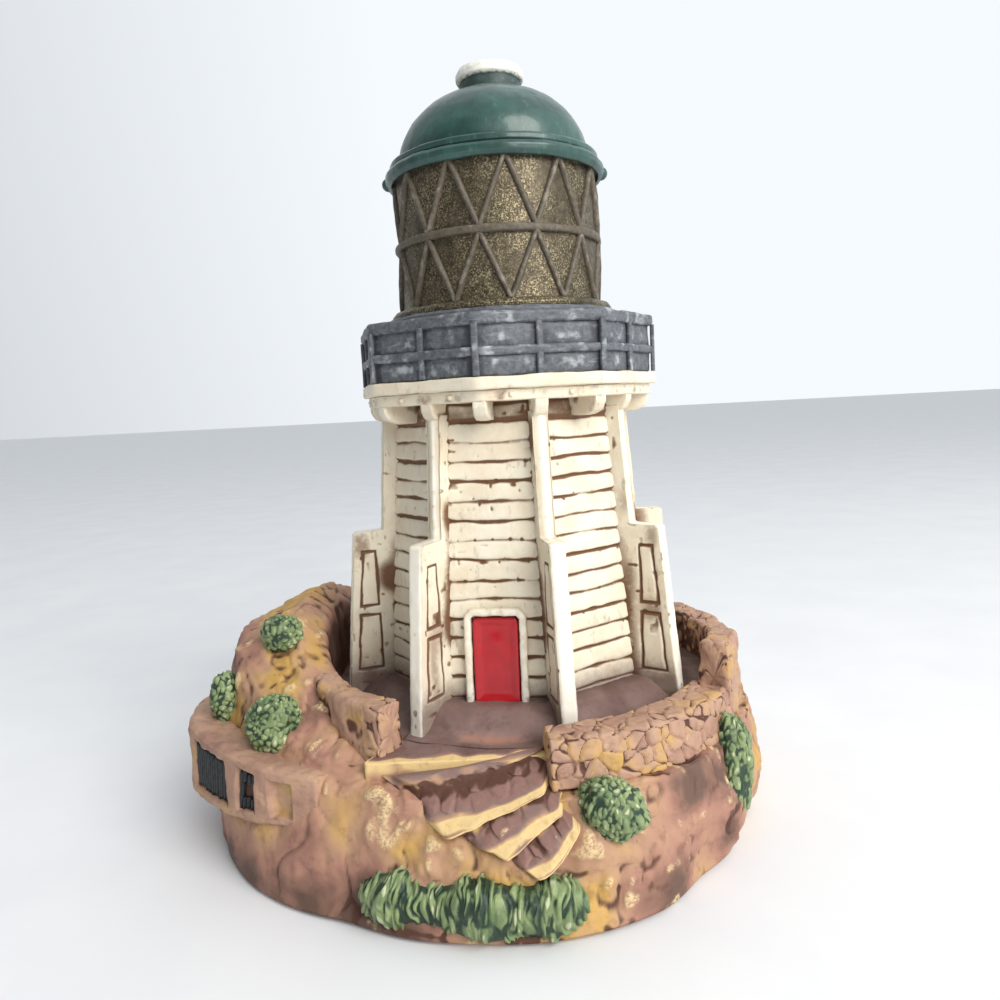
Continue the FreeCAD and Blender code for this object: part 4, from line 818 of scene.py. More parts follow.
# ---------------------------------------------------------------- court
def court_piece(finish):
    """Paved court, skirt, landing and threshold in one ring. Its section runs out from under the tower to the
    wall, or in the gateway to the slanting edge over the steps; its height is the court, raised by the skirt
    and the landing."""
    bearing = all_round(720)
    signed = turned(bearing)
    core = 21.0
    left, right = place(-24.0, 49.0, 0.0)[:2], place(16.0, 41.5, 0.0)[:2]
    run = right - left
    aim = np.stack([np.sin(np.radians(bearing)), -np.cos(np.radians(bearing))], axis=-1)
    straight = (left[0] * run[1] - left[1] * run[0]) / (aim[:, 0] * run[1] - aim[:, 1] * run[0])
    gate = step(signed, -25.2, -24.4) * (1.0 - step(signed, 15.6, 16.4))
    outer = COURT_R + 0.3 + gate * (straight - COURT_R - 0.3)
    t = np.linspace(0.0, 1.0, 90)
    radius = core + (outer[:, None] - core) * t[None, :]
    top = place(bearing[:, None], radius, COURT_TOP)
    skirt = 4.1 * step(36.6 - radius, 0.0, 7.5)
    aside, in_front = np.abs(top[..., 0]), top[..., 1] < 0
    landing = 3.0 * (1.0 - step(radius, 29.5, 34.9)) * (1.0 - step(aside, 8.4, 10.6)) * in_front
    fall = 0.5 * gate[:, None] * step(radius, COURT_R - 2.0, COURT_R + 3.0)
    worn = 0.16 * rough(top, 6.0, 101) + 0.05 * rough(top, 1.4, 111)
    top[..., 2] += np.maximum(skirt, landing) - fall + worn
    down = np.linspace(0.0, 1.0, 14)[1:, None]
    edge = top[:, -1:, :] + np.array([0.0, 0.0, -4.6]) * down
    under = np.stack([place(bearing, np.full(bearing.shape, r), BED_Z + 0.1) for r in (34.0, 27.0, core)], axis=1)
    grid = np.concatenate([top, edge, under], axis=1)
    relief = np.full(grid.shape[:2], 0.55)
    relief[:, :t.size] = 0.58 + 1.2 * worn
    joint = 38.6 + 0.5 * noise(top, 7.0, 117)
    relief[:, :t.size] -= 0.5 * np.exp(-((radius - joint) / 0.22) ** 2) * gate[:, None]
    hue = np.full(grid.shape[:2], 0.3)
    rosy = np.exp(-((radius - 35.6) / 1.3) ** 2) * (1.0 - step(aside, 4.0, 8.0)) * in_front
    brink = step(radius - outer[:, None] + 0.8 * noise(top, 3.0, 113), -2.4, -0.4) * gate[:, None]
    hue[:, :t.size] = 0.3 + 0.3 * rosy + 0.7 * brink
    fade = np.linspace(1.0, 0.0, edge.shape[1]) ** 0.5
    brinks = slice(t.size, t.size + edge.shape[1])
    hue[:, brinks] = 0.3 + gate[:, None] * (0.6 * fade[None, :] + 0.3 * noise(edge, (3.0, 3.0, 2.0), 119))
    nodes = ("court_floor", "threshold_slab", "tower_plinth", "door_landing")
    return piece("court_paving", [grid], finish, nodes, [relief], ring=True, tones=[hue])


def stone_wall(name, bearings, inner, outer, top, finish, nodes, seed, cell, skirt, natural=0.0):
    """Masonry on an arc: a section up the inside, over the top and down the outside, carried round by bearing,
    with domed ends. Stones are cells in space, and joints sink along the normals. natural blends them into
    rough rock, away from the first bearing. top is a function of the bearing."""
    first, last = bearings
    count = int(abs(last - first) * 3.4)
    bearing = np.linspace(first, last, count)
    crown = top(bearing)
    rim, ones = 0.7, np.ones(count)
    corners = [(inner, WALL_FOOT), (inner, crown - rim), (inner + rim, crown), (outer - rim, crown),
               (outer, crown - rim), (outer + skirt, WALL_FOOT)]
    path = [np.stack([radius * ones, height * ones], axis=-1) for radius, height in corners]
    section = relaxed(loop(path, [26, 4, 22, 4, 30, 12]), 2, axis=0, wrap=True)
    grid = ended(place(bearing[:, None], section[..., 0].T, section[..., 1].T))
    spot = grid + 0.7 * drift(grid, 2.6, seed)
    joint, tone = stones(spot, (cell, cell, cell * 0.8), seed)
    wild = natural * step(np.arange(grid.shape[0])[::-1], 14.0, 30.0)[:, None]
    bulge = step(joint, 0.0, 0.13)
    bulge = bulge * (1.0 - wild) + wild * step(creased(spot * np.array([1.0, 1.0, 0.6]), 4.0, seed + 6), 0.1, 0.8)
    rise = -0.4 * (1.0 - bulge) + 0.2 * tone * (1.0 - wild) + 0.3 * rough(grid, 3.0, seed + 3) - 0.1
    grid = pushed(grid, rise)
    relief = 0.14 + 0.46 * bulge + 0.2 * noise(grid, 1.2, seed + 5) + 0.1 * rough(grid, 4.0, seed + 8)
    # Painted shade on the inner face, towards the court: the relief drops and the rough rock's tone darkens
    # there.
    inside = step(inner + 1.0 - np.hypot(grid[..., 0], grid[..., 1]), 0.0, 1.0)
    relief -= 0.28 * inside
    hue = tone * (1.0 - wild) + wild * (0.55 + 0.4 * noise(grid, 5.0, seed + 9)) * (1.0 - 0.8 * inside)
    return piece(name, [grid], finish, nodes, [relief], tones=[hue])


def low_wall_top(bearing):
    """The low wall is level."""
    return np.full(bearing.shape, 28.2)


def right_wall_top(bearing):
    """The wall stands highest at its pillar beside the low wall and falls towards the back."""
    return 33.0 + 3.3 * (1.0 - step(bearing, 74.0, 104.0))


def left_wall_top(bearing):
    """The wall at the left falls a little towards the gateway."""
    return 32.6 + 1.2 * (1.0 - step(bearing, 299.0, 330.0))


def terrace_line():
    """Stations of the terrace's face: bearings, radii, and heights of its foot and top. Its ends run on a
    little."""
    stations = np.array([-90.0, -86.0, -74.0, -62.0, -48.0, -41.0, -34.0, -31.0])
    outer = WALL_OUT_R + np.array([20.5, 21.5, 23.1, 22.7, 17.5, 14.5, 11.0, 9.0])
    foot = BED_Z - np.array([6.0, 6.5, 7.5, 8.5, 8.0, 7.7, 7.3, 6.8])
    crown = BED_Z + np.array([3.4, 3.5, 4.5, 4.7, 3.6, 3.0, 2.3, 1.8])
    return stations, outer, foot, crown


BAY_EDGES = np.array([-86.0, -74.0, -62.0, -48.0, -41.0, -34.0])


def terrace_piece(finish):
    """Retaining wall of the terrace: a section over its top and down its face, carried along the bends of its
    stations. Bays sink into the face between posts, by the product of a step across and a step up."""
    stations, outer, foot, crown = terrace_line()
    bearing = np.linspace(-88.0, -31.5, 420)
    r = relaxed(np.interp(bearing, stations, outer), 14)
    low = np.interp(bearing, stations, foot)
    high = relaxed(np.interp(bearing, stations, crown), 10)
    corners = [(r - 8.5, low), (r - 8.5, high - 0.8), (r - 1.4, high + 0.1), (r - 0.3, high - 0.5),
               (r, low + 0.6), (r - 1.2, low - 0.4)]
    path = [np.stack(corner, axis=-1) for corner in corners]
    section = relaxed(loop(path, [6, 22, 8, 70, 8, 12]), 2, axis=0, wrap=True)
    grid = place(bearing[:, None], section[..., 0].T, section[..., 1].T)
    height = grid[..., 2]
    share = (height - low[:, None]) / (high - low)[:, None]
    nearest = np.min(np.abs(bearing[:, None] - BAY_EDGES[None, :]), axis=1)
    gap = nearest * np.radians(1.0) * r - 1.3
    bay = np.interp(bearing, BAY_EDGES, np.arange(6.0), left=-1.0, right=6.0)
    wander = 0.35 * noise(grid, 3.0, 131)
    on_face = section[..., 0].T > (r - 1.6)[:, None]
    in_bay = on_face * ((bay > 0.0) & (bay < 5.0))[:, None]
    tall = (high - low)[:, None]
    up = share * tall + wander
    between_rims = step(up, 1.6, 2.2) * (1.0 - step(up, tall - 2.2, tall - 1.6))
    inside = step(gap[:, None] + wander, 0.0, 0.5) * between_rims * in_bay
    radial = place(bearing[:, None], np.ones(grid.shape[:2]), 0.0)
    grid = grid - 1.5 * inside[..., None] * radial
    grid = pushed(grid, 0.3 * rough(grid, 3.5, 141) * (1.0 - 0.5 * inside))
    relief = edge_relief(grid, reach=4, gain=0.9) + 0.15 * rough(grid, 2.0, 151)
    open_bay = (bay > 4.0)[:, None] * inside
    relief = relief - 0.35 * inside * (bay < 4.0)[:, None] + 0.25 * open_bay
    hue = 0.35 + 0.3 * noise(grid, 5.0, 161) + 0.7 * open_bay
    return piece("terrace", [grid], finish, ("terrace_wall",), [relief], tones=[hue])


def slats_piece(finish):
    """Black hatching in four of the terrace's bays: slanting strokes, each a half-round strip. Those in the
    middle of the last hatched bay are broken, round a bare patch."""
    grids, reliefs = [], []
    stations, outer, foot, crown = terrace_line()
    chance = np.random.default_rng(5)
    for bay in range(4):
        start, end = BAY_EDGES[bay] + 1.35, BAY_EDGES[bay + 1] - 1.35
        strokes = int((end - start) / 0.78)
        for k in range(strokes):
            first = start + (end - start) * (k + 0.5) / strokes + chance.uniform(-0.12, 0.12)
            low_gap, high_gap = 1.9 + chance.uniform(0.0, 0.5), 1.9 + chance.uniform(0.0, 0.5)
            spans = [(0.0, 1.0)]
            if bay == 3 and 0.2 < (k + 0.5) / strokes < 0.8:
                spans = [(0.0, 0.3), (0.72, 1.0)]
            for begin, finish_at in spans:
                t = np.linspace(begin, finish_at, 12)
                bearing = first + 1.0 * (t - 0.5)
                low = np.interp(bearing, stations, foot) + low_gap
                high = np.interp(bearing, stations, crown) - high_gap
                line = place(bearing, np.interp(bearing, stations, outer) - 1.25, low + (high - low) * t)
                grids.append(strip(line, 0.62, 0.62))
                wave = 0.3 * np.abs(np.sin(np.linspace(0.0, 6.28, 8)))[None, :]
                reliefs.append(np.full(grids[-1].shape[:2], 0.5) + wave)
    return piece("terrace_hatching", grids, finish, ("terrace_slats",), reliefs)


def strip(line, width, height):
    """Half-round strip laid on a line of points: an ellipse across it, width along the surface and height
    outwards."""
    along = unit(np.gradient(line, axis=0))
    outward = unit(line * np.array([1.0, 1.0, 0.0]))
    side = unit(np.cross(along, outward))
    angle = np.linspace(0.0, 2.0 * math.pi, 8, endpoint=False)
    return (line[:, None, :] + 0.5 * width * np.cos(angle)[None, :, None] * side[:, None, :]
            + height * np.sin(angle)[None, :, None] * outward[:, None, :])


# ---------------------------------------------------------------- planting
def bush(name, centre, size, finish, node, seed, strand):
    """Clump of leaves: an ellipsoid whose radius swells by coarse humps and by leaf-sized cells, strand being
    their size."""
    shape = ball(90, 150, 88.0) * np.asarray(size)
    humps = 0.16 * rough(shape + seed * 3.1, 4.0, seed, 2)
    gap, tone = stones(shape + 0.5 * drift(shape, 1.6, seed), strand, seed)
    leaf = step(gap, 0.02, 0.5)
    grid = shape * (1.0 + humps + 0.08 * leaf - 0.05)[..., None] + np.asarray(centre)
    relief = 0.14 + 0.5 * leaf + 0.22 * tone + 0.3 * noise(grid, 0.7, seed + 5)
    return piece(name, [grid], finish, (node,), [relief], tones=[tone])


HEDGE_R = 54.0


def hedge_piece(finish):
    """Front hedge: an oval section carried along the foot of the rock, with upright strands across its face."""
    bearing = np.linspace(-21.5, 19.0, 300)
    t = np.linspace(-1.0, 1.0, bearing.size)
    swell = np.sqrt(np.clip(1.0 - np.abs(t) ** 7, 0.02, 1.0)) * (1.0 + 0.12 * np.sin(9.0 * t + 1.0))
    angle = np.radians(all_round(96))
    spine = HEDGE_R + 0.6 * np.sin(5.0 * t)
    radius = spine[:, None] + 4.2 * swell[:, None] * np.cos(angle)[None, :]
    height = 5.4 + 4.5 * swell[:, None] * np.sin(angle)[None, :]
    grid = place(bearing[:, None], radius, height)
    flat = np.stack(np.broadcast_arrays(np.radians(bearing)[:, None] * HEDGE_R, height, 0.0), -1)
    flat = flat + np.array([0.7, 0.5, 0.0]) * drift(grid, (2.0, 2.0, 3.0), 171)
    gap, tone = stones(flat, (0.95, 4.6, 40.0), 181)
    leaf = step(gap, 0.02, 0.5)
    rise = 0.55 * leaf + 0.5 * rough(grid, (3.0, 3.0, 5.0), 191) - 0.4
    grid = pushed(grid, rise)
    grid[..., 2] = np.maximum(grid[..., 2], FELT_TOP + 0.05)
    relief = 0.14 + 0.46 * leaf + 0.22 * tone + 0.34 * noise(grid, (1.0, 1.0, 2.0), 201)
    return piece("hedge", [grid], finish, ("front_hedge",), [relief], tones=[tone])


# ---------------------------------------------------------------- tower
FIRST_BOARD_Z = 28.9
BOARD_HEIGHT = 3.65
ENGRAVED_PANELS = ((30.2, 41.4), (43.4, 54.6))       # foot and head of the two panels on a buttress
DOOR_HALF, DOOR_FOOT, DOOR_HEAD = 4.58, 27.65, 44.35


def wall_corner_r(height):
    """Corner radius of the boarded wall, straight from the court to the frieze."""
    return WALL_LOW_R + (WALL_HIGH_R - WALL_LOW_R) * (height - COURT_TOP) / (TOWER_TOP - COURT_TOP)


def facing(bearing, across, outward, height):
    """Points in the frame of a side of the tower: along the side, out from the axis, and up."""
    b = math.radians(bearing)
    return np.stack(np.broadcast_arrays(across * math.cos(b) + outward * math.sin(b),
                                        across * math.sin(b) - outward * math.cos(b), height), -1)


def boards_piece(name, index, finish, node):
    """One boarded side: each board leans out to its foot, and hand-cut grooves wander between the boards."""
    bearing = index * SIDE_DEG
    up = np.linspace(COURT_TOP + 0.3, TOWER_TOP - 0.05, 270)
    middle = wall_corner_r(up) * math.cos(math.radians(HALF_SIDE))
    half = middle * math.tan(math.radians(HALF_SIDE)) - 1.25
    t = np.linspace(-1.0, 1.0, 84)
    across = half[:, None] * t[None, :]
    height = np.broadcast_to(up[:, None], across.shape)
    seed = 300 + 10 * index
    spot = np.stack([across, height, np.full(across.shape, 7.0 * index)], -1)
    wander = 0.34 * noise(spot, (9.0, 3.2, 5.0), seed) + 0.12 * noise(spot, (2.4, 3.0, 5.0), seed + 1)
    boards = (height - FIRST_BOARD_Z + wander) / BOARD_HEIGHT
    part = boards - np.floor(boards)
    away = np.minimum(part, 1.0 - part) * BOARD_HEIGHT
    along_groove = np.stack([across * 0.4, np.round(boards) * 5.0, np.zeros(across.shape)], -1)
    strength = 0.75 + 0.45 * noise(along_groove, 2.2, seed + 2)
    groove = strength * np.exp(-(away / (0.4 + 0.18 * noise(spot, 2.0, seed + 6))) ** 2)
    pits = step(noise(spot, 1.1, seed + 3), 0.62, 0.9)
    rise = 0.28 * (0.5 - part) - 0.5 * groove + 0.07 * rough(spot, 2.6, seed + 4) - 0.12 * pits
    front = facing(bearing, across, middle[:, None] + rise, height)
    back = facing(bearing, half[:, None] * np.linspace(1.0, -1.0, 6), (middle - 1.9)[:, None], up[:, None])
    grid = np.concatenate([front, back], axis=1)
    relief = np.full(grid.shape[:2], 0.5)
    # Painted shade: the boards darken within about 0.9 mm of the buttresses, in the corners beside them.
    corner_shade = 0.35 * (1.0 - step(half[:, None] - np.abs(across), 0.0, 0.9))
    # Painted shade under the frieze: the top 3 to 5 mm of the boards darken.
    shade_under_cornice = 0.34 * step(height, 78.6, 80.6)
    # Painted shadow along each lap: the lowest part of each board darkens, in uneven streaks.
    lap_shadow = 0.16 * (1.0 - step(part, 0.0, 0.3)) + 0.1 * noise(spot, (4.0, 1.4, 5.0), seed + 8)
    relief[:, :t.size] = 0.6 - 0.6 * groove - 0.3 * pits - corner_shade - shade_under_cornice - lap_shadow + 0.1 * (0.5 - part)
    return piece(name, [grid], finish, (node,), [relief])


def buttress_piece(name, index, finish, node):
    """One buttress: a flat-sided section whose outer face follows the batter, steps in at the shoulder, and
    above it is a shallow arris. Two engraved panels sink into each side of the lower part."""
    bearing = HALF_SIDE + index * SIDE_DEG
    path = np.array([(BUTTRESS_FOOT_R, COURT_TOP - 0.5), (33.75, 58.1), (33.2, 58.6), (28.4, 58.75), (27.9, 59.0),
                     (26.35, 80.4), (26.25, 81.6)])
    line = spread(path, [190, 6, 12, 4, 90, 4])
    reach, up = line[:, 0], line[:, 1]
    root, half, rim = 21.0, 1.55, 0.35
    s = np.linspace(0.0, 1.0, 62)
    face = np.linspace(-1.0, 1.0, 16)
    side_y = root + (reach - rim - root)[:, None] * s[None, :]
    upper = step(up, 58.4, 58.7)
    # Above the shoulder the face is an arris; 0.4142 is the tangent of half a side.
    point = (half - np.abs(face) * half)[None, :] * math.tan(math.radians(HALF_SIDE))
    face_y = reach[:, None] - upper[:, None] * (half * 0.4142 - point) - rim * np.abs(face)[None, :] ** 6
    wide = half - 0.12 * np.abs(noise(np.stack([0.0 * up, 0.0 * up, up], -1), 4.0, 400 + index))
    x = np.concatenate([np.repeat(-wide[:, None], s.size, 1), wide[:, None] * face[None, :] * 0.985,
                        np.repeat(wide[:, None], s.size, 1)], axis=1)
    y = np.concatenate([side_y, face_y, side_y[:, ::-1]], axis=1)
    z = np.broadcast_to(up[:, None], y.shape)
    out = BUTTRESS_FOOT_R - 3.2 * (z - COURT_TOP) / 34.0
    line_mask = np.zeros(y.shape)
    for foot, head in ENGRAVED_PANELS:
        wander = 0.16 * noise(np.stack([y, z, np.sign(x)], -1), 3.0, 410 + index)
        box = np.maximum(np.maximum(29.4 - y, y - (out - 2.1)), np.maximum(foot - z, z - head)) + wander
        line_mask = np.maximum(line_mask, np.exp(-(box / 0.24) ** 2))
    nick = step(noise(np.stack([y, z, x], -1), 1.3, 430 + index), 0.6, 0.85)
    on_side = np.abs(np.abs(x) - wide[:, None]) < 1e-6
    x = x - np.sign(x) * on_side * (0.42 * line_mask + 0.1 * nick)
    y = y + 0.07 * rough(np.stack([x, y, z], -1), 2.4, 440 + index)
    grid = facing(bearing, x, y, z)
    arris = np.exp(-((reach[:, None] - y) / 0.35) ** 2)
    # Painted shade in the corners: the sides of the buttress darken towards the wall, more in the lower part.
    deep = step(29.5 - y, 0.0, 4.5) * on_side * (0.4 + 0.6 * step(60.0 - z, 0.0, 6.0))
    # Painted shade in patches on both sides of the buttress.
    side_shade = on_side * step(noise(np.stack([x, y, z], -1), (4.0, 4.0, 7.0), 450 + index), -0.3, 0.7)
    relief = 0.56 - 0.6 * line_mask * on_side - 0.22 * nick + 0.35 * arris - 0.3 * deep - 0.3 * side_shade
    return piece(name, [grid], finish, (node,), [relief])


def leaning_door(across, outward, height):
    """Points on the door's plane: it leans back with the wall, so y falls with height by the wall's batter."""
    slope = (WALL_LOW_R - WALL_HIGH_R) * math.cos(math.radians(HALF_SIDE)) / (TOWER_TOP - COURT_TOP)
    face = WALL_LOW_R * math.cos(math.radians(HALF_SIDE)) + 0.25 - slope * (height - COURT_TOP)
    return np.stack(np.broadcast_arrays(across, -(face + outward), height), -1)


def door_sheet(half, low, high, corner, rows, columns):
    """Grid over an upright rectangle with rounded top corners: each row is as wide as the rectangle is at its
    height."""
    up = np.linspace(low, high, rows)
    drop = np.clip(up - (high - corner), 0.0, corner)
    wide = half - corner + np.sqrt(np.maximum(corner ** 2 - drop ** 2, 1e-4))
    across = wide[:, None] * np.linspace(-1.0, 1.0, columns)[None, :]
    return across, np.broadcast_to(up[:, None], across.shape), wide


def door_pieces(leaf_finish, frame_finish):
    """Leaf: a slightly dished plate. Frame: a rounded bead carried up one side, over the top and down the
    other."""
    across, up, wide = door_sheet(DOOR_HALF, DOOR_FOOT, DOOR_HEAD, 1.6, 90, 56)
    rim = np.minimum(np.minimum(wide[:, None] - np.abs(across), up - DOOR_FOOT), DOOR_HEAD - up)
    uneven = noise(np.stack([across, up, np.zeros(up.shape)], -1), 3.0, 501)
    front = leaning_door(across, 0.9 * step(rim, 0.0, 0.5) - 0.28 * step(rim, 0.7, 2.2) + 0.1 * uneven, up)
    back = leaning_door(across[:, ::-1], -0.1, up)
    relief = np.concatenate([0.15 + 0.5 * step(rim, 0.1, 1.1), np.full(across.shape, 0.4)], axis=1)
    grid = np.concatenate([front, back], axis=1)
    piece("door_leaf_gloss", [grid], leaf_finish, ("door_leaf",), [relief])
    line = spread([(-5.2, 27.4), (-5.2, 44.0), (-4.2, 45.05), (4.2, 45.05), (5.2, 44.0), (5.2, 27.4)],
                  [60, 10, 34, 10, 60])
    line = relaxed(line, 4)
    along = unit(np.gradient(line, axis=0))
    side = np.stack([-along[:, 1], along[:, 0]], -1)
    angle, square = squared(20, 0.75)
    a, b = 0.68 * square * np.cos(angle), 0.85 * square * np.sin(angle)
    x = line[:, None, 0] + side[:, None, 0] * a[None, :]
    z = line[:, None, 1] + side[:, None, 1] * a[None, :]
    y = 0.55 + np.broadcast_to(b[None, :], x.shape)
    grid = leaning_door(x, y, z)
    grid = pushed(grid, 0.1 * rough(grid, 2.0, 511))
    relief = 0.55 + 0.25 * np.sin(angle)[None, :] + 0.2 * rough(grid, 1.5, 521)
    piece("door_surround", [grid], frame_finish, ("door_frame",), [relief])


def bracket_grid(bearing, reach, seed):
    """Corbel: a section across it carried along a curved underside, from the wall out to a rounded nose."""
    root, head, half = 17.0, 83.7, 1.22
    outline = relaxed(spread([(root, 80.45), (reach - 3.0, 80.3), (reach - 0.9, 81.1), (reach, 82.6),
                              (reach, head)], [10, 8, 8, 6]), 3)
    top = np.stack([np.linspace(root, reach - 0.05, outline.shape[0]), np.full(outline.shape[0], head)], -1)
    t = np.linspace(0.0, 1.0, 10)[:, None]
    under_x = np.linspace(-half, half, 8)
    side_a = outline[:, None, :] + (top - outline)[:, None, :] * t[None, ::-1, :]
    side_b = side_a[:, ::-1, :]
    bottom = np.repeat(outline[:, None, :], 8, axis=1)
    y = np.concatenate([side_a[..., 0], bottom[..., 0], side_b[..., 0]], axis=1)
    belly = 0.12 * (1 - (under_x / half) ** 2)[None, :]
    z = np.concatenate([side_a[..., 1], bottom[..., 1] - belly, side_b[..., 1]], axis=1)
    x = np.concatenate([np.full(side_a.shape[:2], -half), np.repeat(under_x[None, :], outline.shape[0], 0),
                        np.full(side_b.shape[:2], half)], axis=1)
    grid = facing(bearing, x, y, z)
    grid = grid + 0.1 * rough(grid, 2.0, seed)[..., None] * place(bearing, 1.0, 0.4)
    # Painted shade: the relief falls towards the wall, so each corbel darkens where it meets the wall under the
    # frieze.
    relief = np.clip(0.42 + 0.05 * (y - 24.0) + 0.2 * rough(grid, 1.6, seed + 1), 0.0, 1.0)
    return grid, relief


def cornice_pieces(finish):
    """Sixteen corbels, the frieze ring with its studs, and the slab above, all carried round the octagon."""
    made = []
    for i in range(8):
        made.append(bracket_grid(HALF_SIDE + SIDE_DEG * i, 27.7, 530 + i))
        made.append(bracket_grid(SIDE_DEG * i, 29.3, 540 + i))
    piece("corbels", [m[0] for m in made], finish, ("corbel_brackets",), [m[1] for m in made])
    frieze = octagon_ring(rounded(14.0, 30.0, TOWER_TOP, FRIEZE_TOP, 0.3, 8, 4))
    frieze = pushed(frieze, 0.12 * rough(frieze, (5.0, 5.0, 2.0), 551), ring=True)
    relief = edge_relief(frieze, ring=True, gain=1.0) - 0.1 + 0.15 * rough(frieze, 2.0, 552)
    piece("frieze", [frieze], finish, ("frieze_ring",), [relief], ring=True)
    slab = octagon_ring(rounded(12.0, 31.3, FRIEZE_TOP, SLAB_TOP, 0.45, 10, 5))
    slab = pushed(slab, 0.16 * rough(slab, (6.0, 6.0, 2.5), 561), ring=True)
    relief = edge_relief(slab, ring=True, gain=0.8) + 0.1 + 0.1 * rough(slab, 2.0, 562)
    piece("gallery_floor_slab", [slab], finish, ("gallery_slab",), [relief], ring=True)
    grids = []
    for i in range(16):
        bearing = 11.25 + 22.5 * i
        radius = 30.0 * float(eight_sided(np.array([bearing]))[0])
        grids.append(ball_grid(place(bearing, radius, TOWER_TOP + 1.0), 0.52))
    piece("frieze_buttons", grids, finish, ("frieze_studs",))


def ball_grid(centre, radius):
    """Small sphere round a centre."""
    return ball(8, 14, 80.0) * radius + np.asarray(centre)


# ---------------------------------------------------------------- gallery
def gallery_pieces(finish):
    """Walk and parapet: panels, two rails and posts, each a rounded section carried round or up the octagon."""
    deck = octagon_ring(rounded(12.0, 28.5, SLAB_TOP, SLAB_TOP + 3.5, 0.2, 8, 3))
    piece("gallery_walk", [deck], finish, ("gallery_deck",), ring=True)
    panel = octagon_ring(rounded(28.4, 30.0, SLAB_TOP, 98.45, 0.3, 26, 4))
    bearing = all_round(panel.shape[0])[:, None]
    bay = np.abs(((bearing / 22.5) % 1.0) - 0.5) * 2.0
    z = panel[..., 2]
    tier = np.where(z > 92.4, np.abs(z - 95.1) / 1.9, np.abs(z - 89.8) / 1.8)
    field = (1.0 - step(bay, 0.55, 0.85)) * (1.0 - step(tier, 0.5, 1.1))
    panel = pushed(panel, 0.22 * field + 0.12 * rough(panel, 3.0, 601), ring=True)
    relief = 0.30 + 0.32 * field + 0.22 * rough(panel, 2.2, 602)
    piece("gallery_panels", [panel], finish, ("gallery_screen",), [relief], ring=True)
    for name, node, section, seed in (
            ("gallery_top_rail", "top_rail", rounded(28.3, 30.85, 97.0, 99.2, 0.6, 8, 5), 611),
            ("gallery_middle_rail", "middle_rail", rounded(29.6, 30.95, 91.6, 93.2, 0.5, 4, 5), 621)):
        rail = octagon_ring(section)
        rail = pushed(rail, 0.16 * rough(rail, (5.0, 5.0, 2.0), seed), ring=True)
        relief = edge_relief(rail, ring=True, gain=1.1) + 0.08 + 0.2 * rough(rail, 2.0, seed + 1)
        piece(name, [rail], finish, (node,), [relief], ring=True)
    grids, reliefs = [], []
    for i in range(16):
        bearing = 22.5 * i
        radius = 30.45 if i % 2 == 0 else 28.15
        up = np.linspace(SLAB_TOP + 0.1, 97.3, 40)
        angle, square = squared(16, 0.6)
        lean = 0.12 * noise(np.stack(np.broadcast_arrays(0.0, 9.0 * i, up), -1), 3.0, 631)
        x = 0.62 * square * np.cos(angle) + lean[:, None]
        grid = facing(bearing, x, radius + 0.42 * square * np.sin(angle), up[:, None])
        grids.append(grid)
        reliefs.append(0.42 + 0.2 * np.sin(angle)[None, :] + 0.3 * noise(grid, 1.5, 641))
    piece("gallery_posts", grids, finish, ("rail_posts",), reliefs)


# ---------------------------------------------------------------- lantern and dome
def lantern_pieces(slate, bronze, bars):
    """Turned plinth, flange and drum, and the glazing bars laid on the drum as half-round strips."""
    foot = SLAB_TOP + 3.4
    plinth = lathe(spread([(CORE_R, foot), (23.6, foot), (23.6, PLINTH_TOP - 0.5), (23.2, PLINTH_TOP),
                           (CORE_R, PLINTH_TOP)], [6, 30, 4, 12]), columns=200, wobble=0.1, seed=651)
    piece("lantern_base", [plinth], slate, ("lantern_plinth",))
    flange = lathe(relaxed(spread([(CORE_R, PLINTH_TOP), (22.4, PLINTH_TOP), (22.5, 101.4), (21.9, 102.1),
                                   (20.2, 102.45), (CORE_R, 102.45)], [8, 6, 6, 8, 6]), 1),
                   columns=220, wobble=0.16, seed=661, cell=3.0)
    piece("lantern_foot", [flange], bronze, ("lantern_flange",))
    drum = lathe(spread([(CORE_R, FLANGE_TOP), (DRUM_R, FLANGE_TOP), (DRUM_R, DRUM_TOP), (CORE_R, DRUM_TOP)],
                        [4, 110, 4]), columns=300, wobble=0.14, seed=671, cell=5.0)
    piece("lantern_glazing", [drum], bronze, ("lantern_drum",))
    for name, node, low, high, shift, seed in (
            ("lower_bars", "lattice_lower", FLANGE_TOP - 0.1, BAND_LOW + 0.3, 0.0, 681),
            ("upper_bars", "lattice_upper", BAND_HIGH - 0.3, DRUM_TOP + 0.2, 15.0, 691)):
        grids, reliefs = [], []
        for i in range(12):
            for way in (-1.0, 1.0):
                t = np.linspace(0.0, 1.0, 30)
                bearing = 15.0 + shift + 30.0 * i + way * 15.0 * t
                height = low + (high - low) * t
                line = place(bearing, DRUM_R + 0.05, height)
                bar = strip(line, 1.2, 0.78)
                bar = bar + 0.1 * noise(bar, 2.0, seed)[..., None] * place(bearing[:, None], 1.0, 0.0)
                grids.append(bar)
                round_it = np.sin(np.linspace(0.0, 2.0 * math.pi, 8, endpoint=False))
                reliefs.append(0.25 + 0.35 * np.clip(round_it, 0, 1)[None, :] + 0.3 * noise(bar, 1.2, seed + 1))
        piece(name, grids, bars, (node,), reliefs)
    ring = lathe(rounded(19.6, 20.95, BAND_LOW, BAND_HIGH, 0.5, 3, 5), columns=300)
    grid = np.swapaxes(ring, 0, 1)
    grid = pushed(grid, 0.12 * rough(grid, 2.5, 701), ring=True)
    relief = 0.4 + 0.2 * (grid[..., 2] - 114.7) + 0.25 * noise(grid, 1.4, 702)
    piece("waist_band", [grid], bars, ("lattice_ring",), [relief], ring=True)


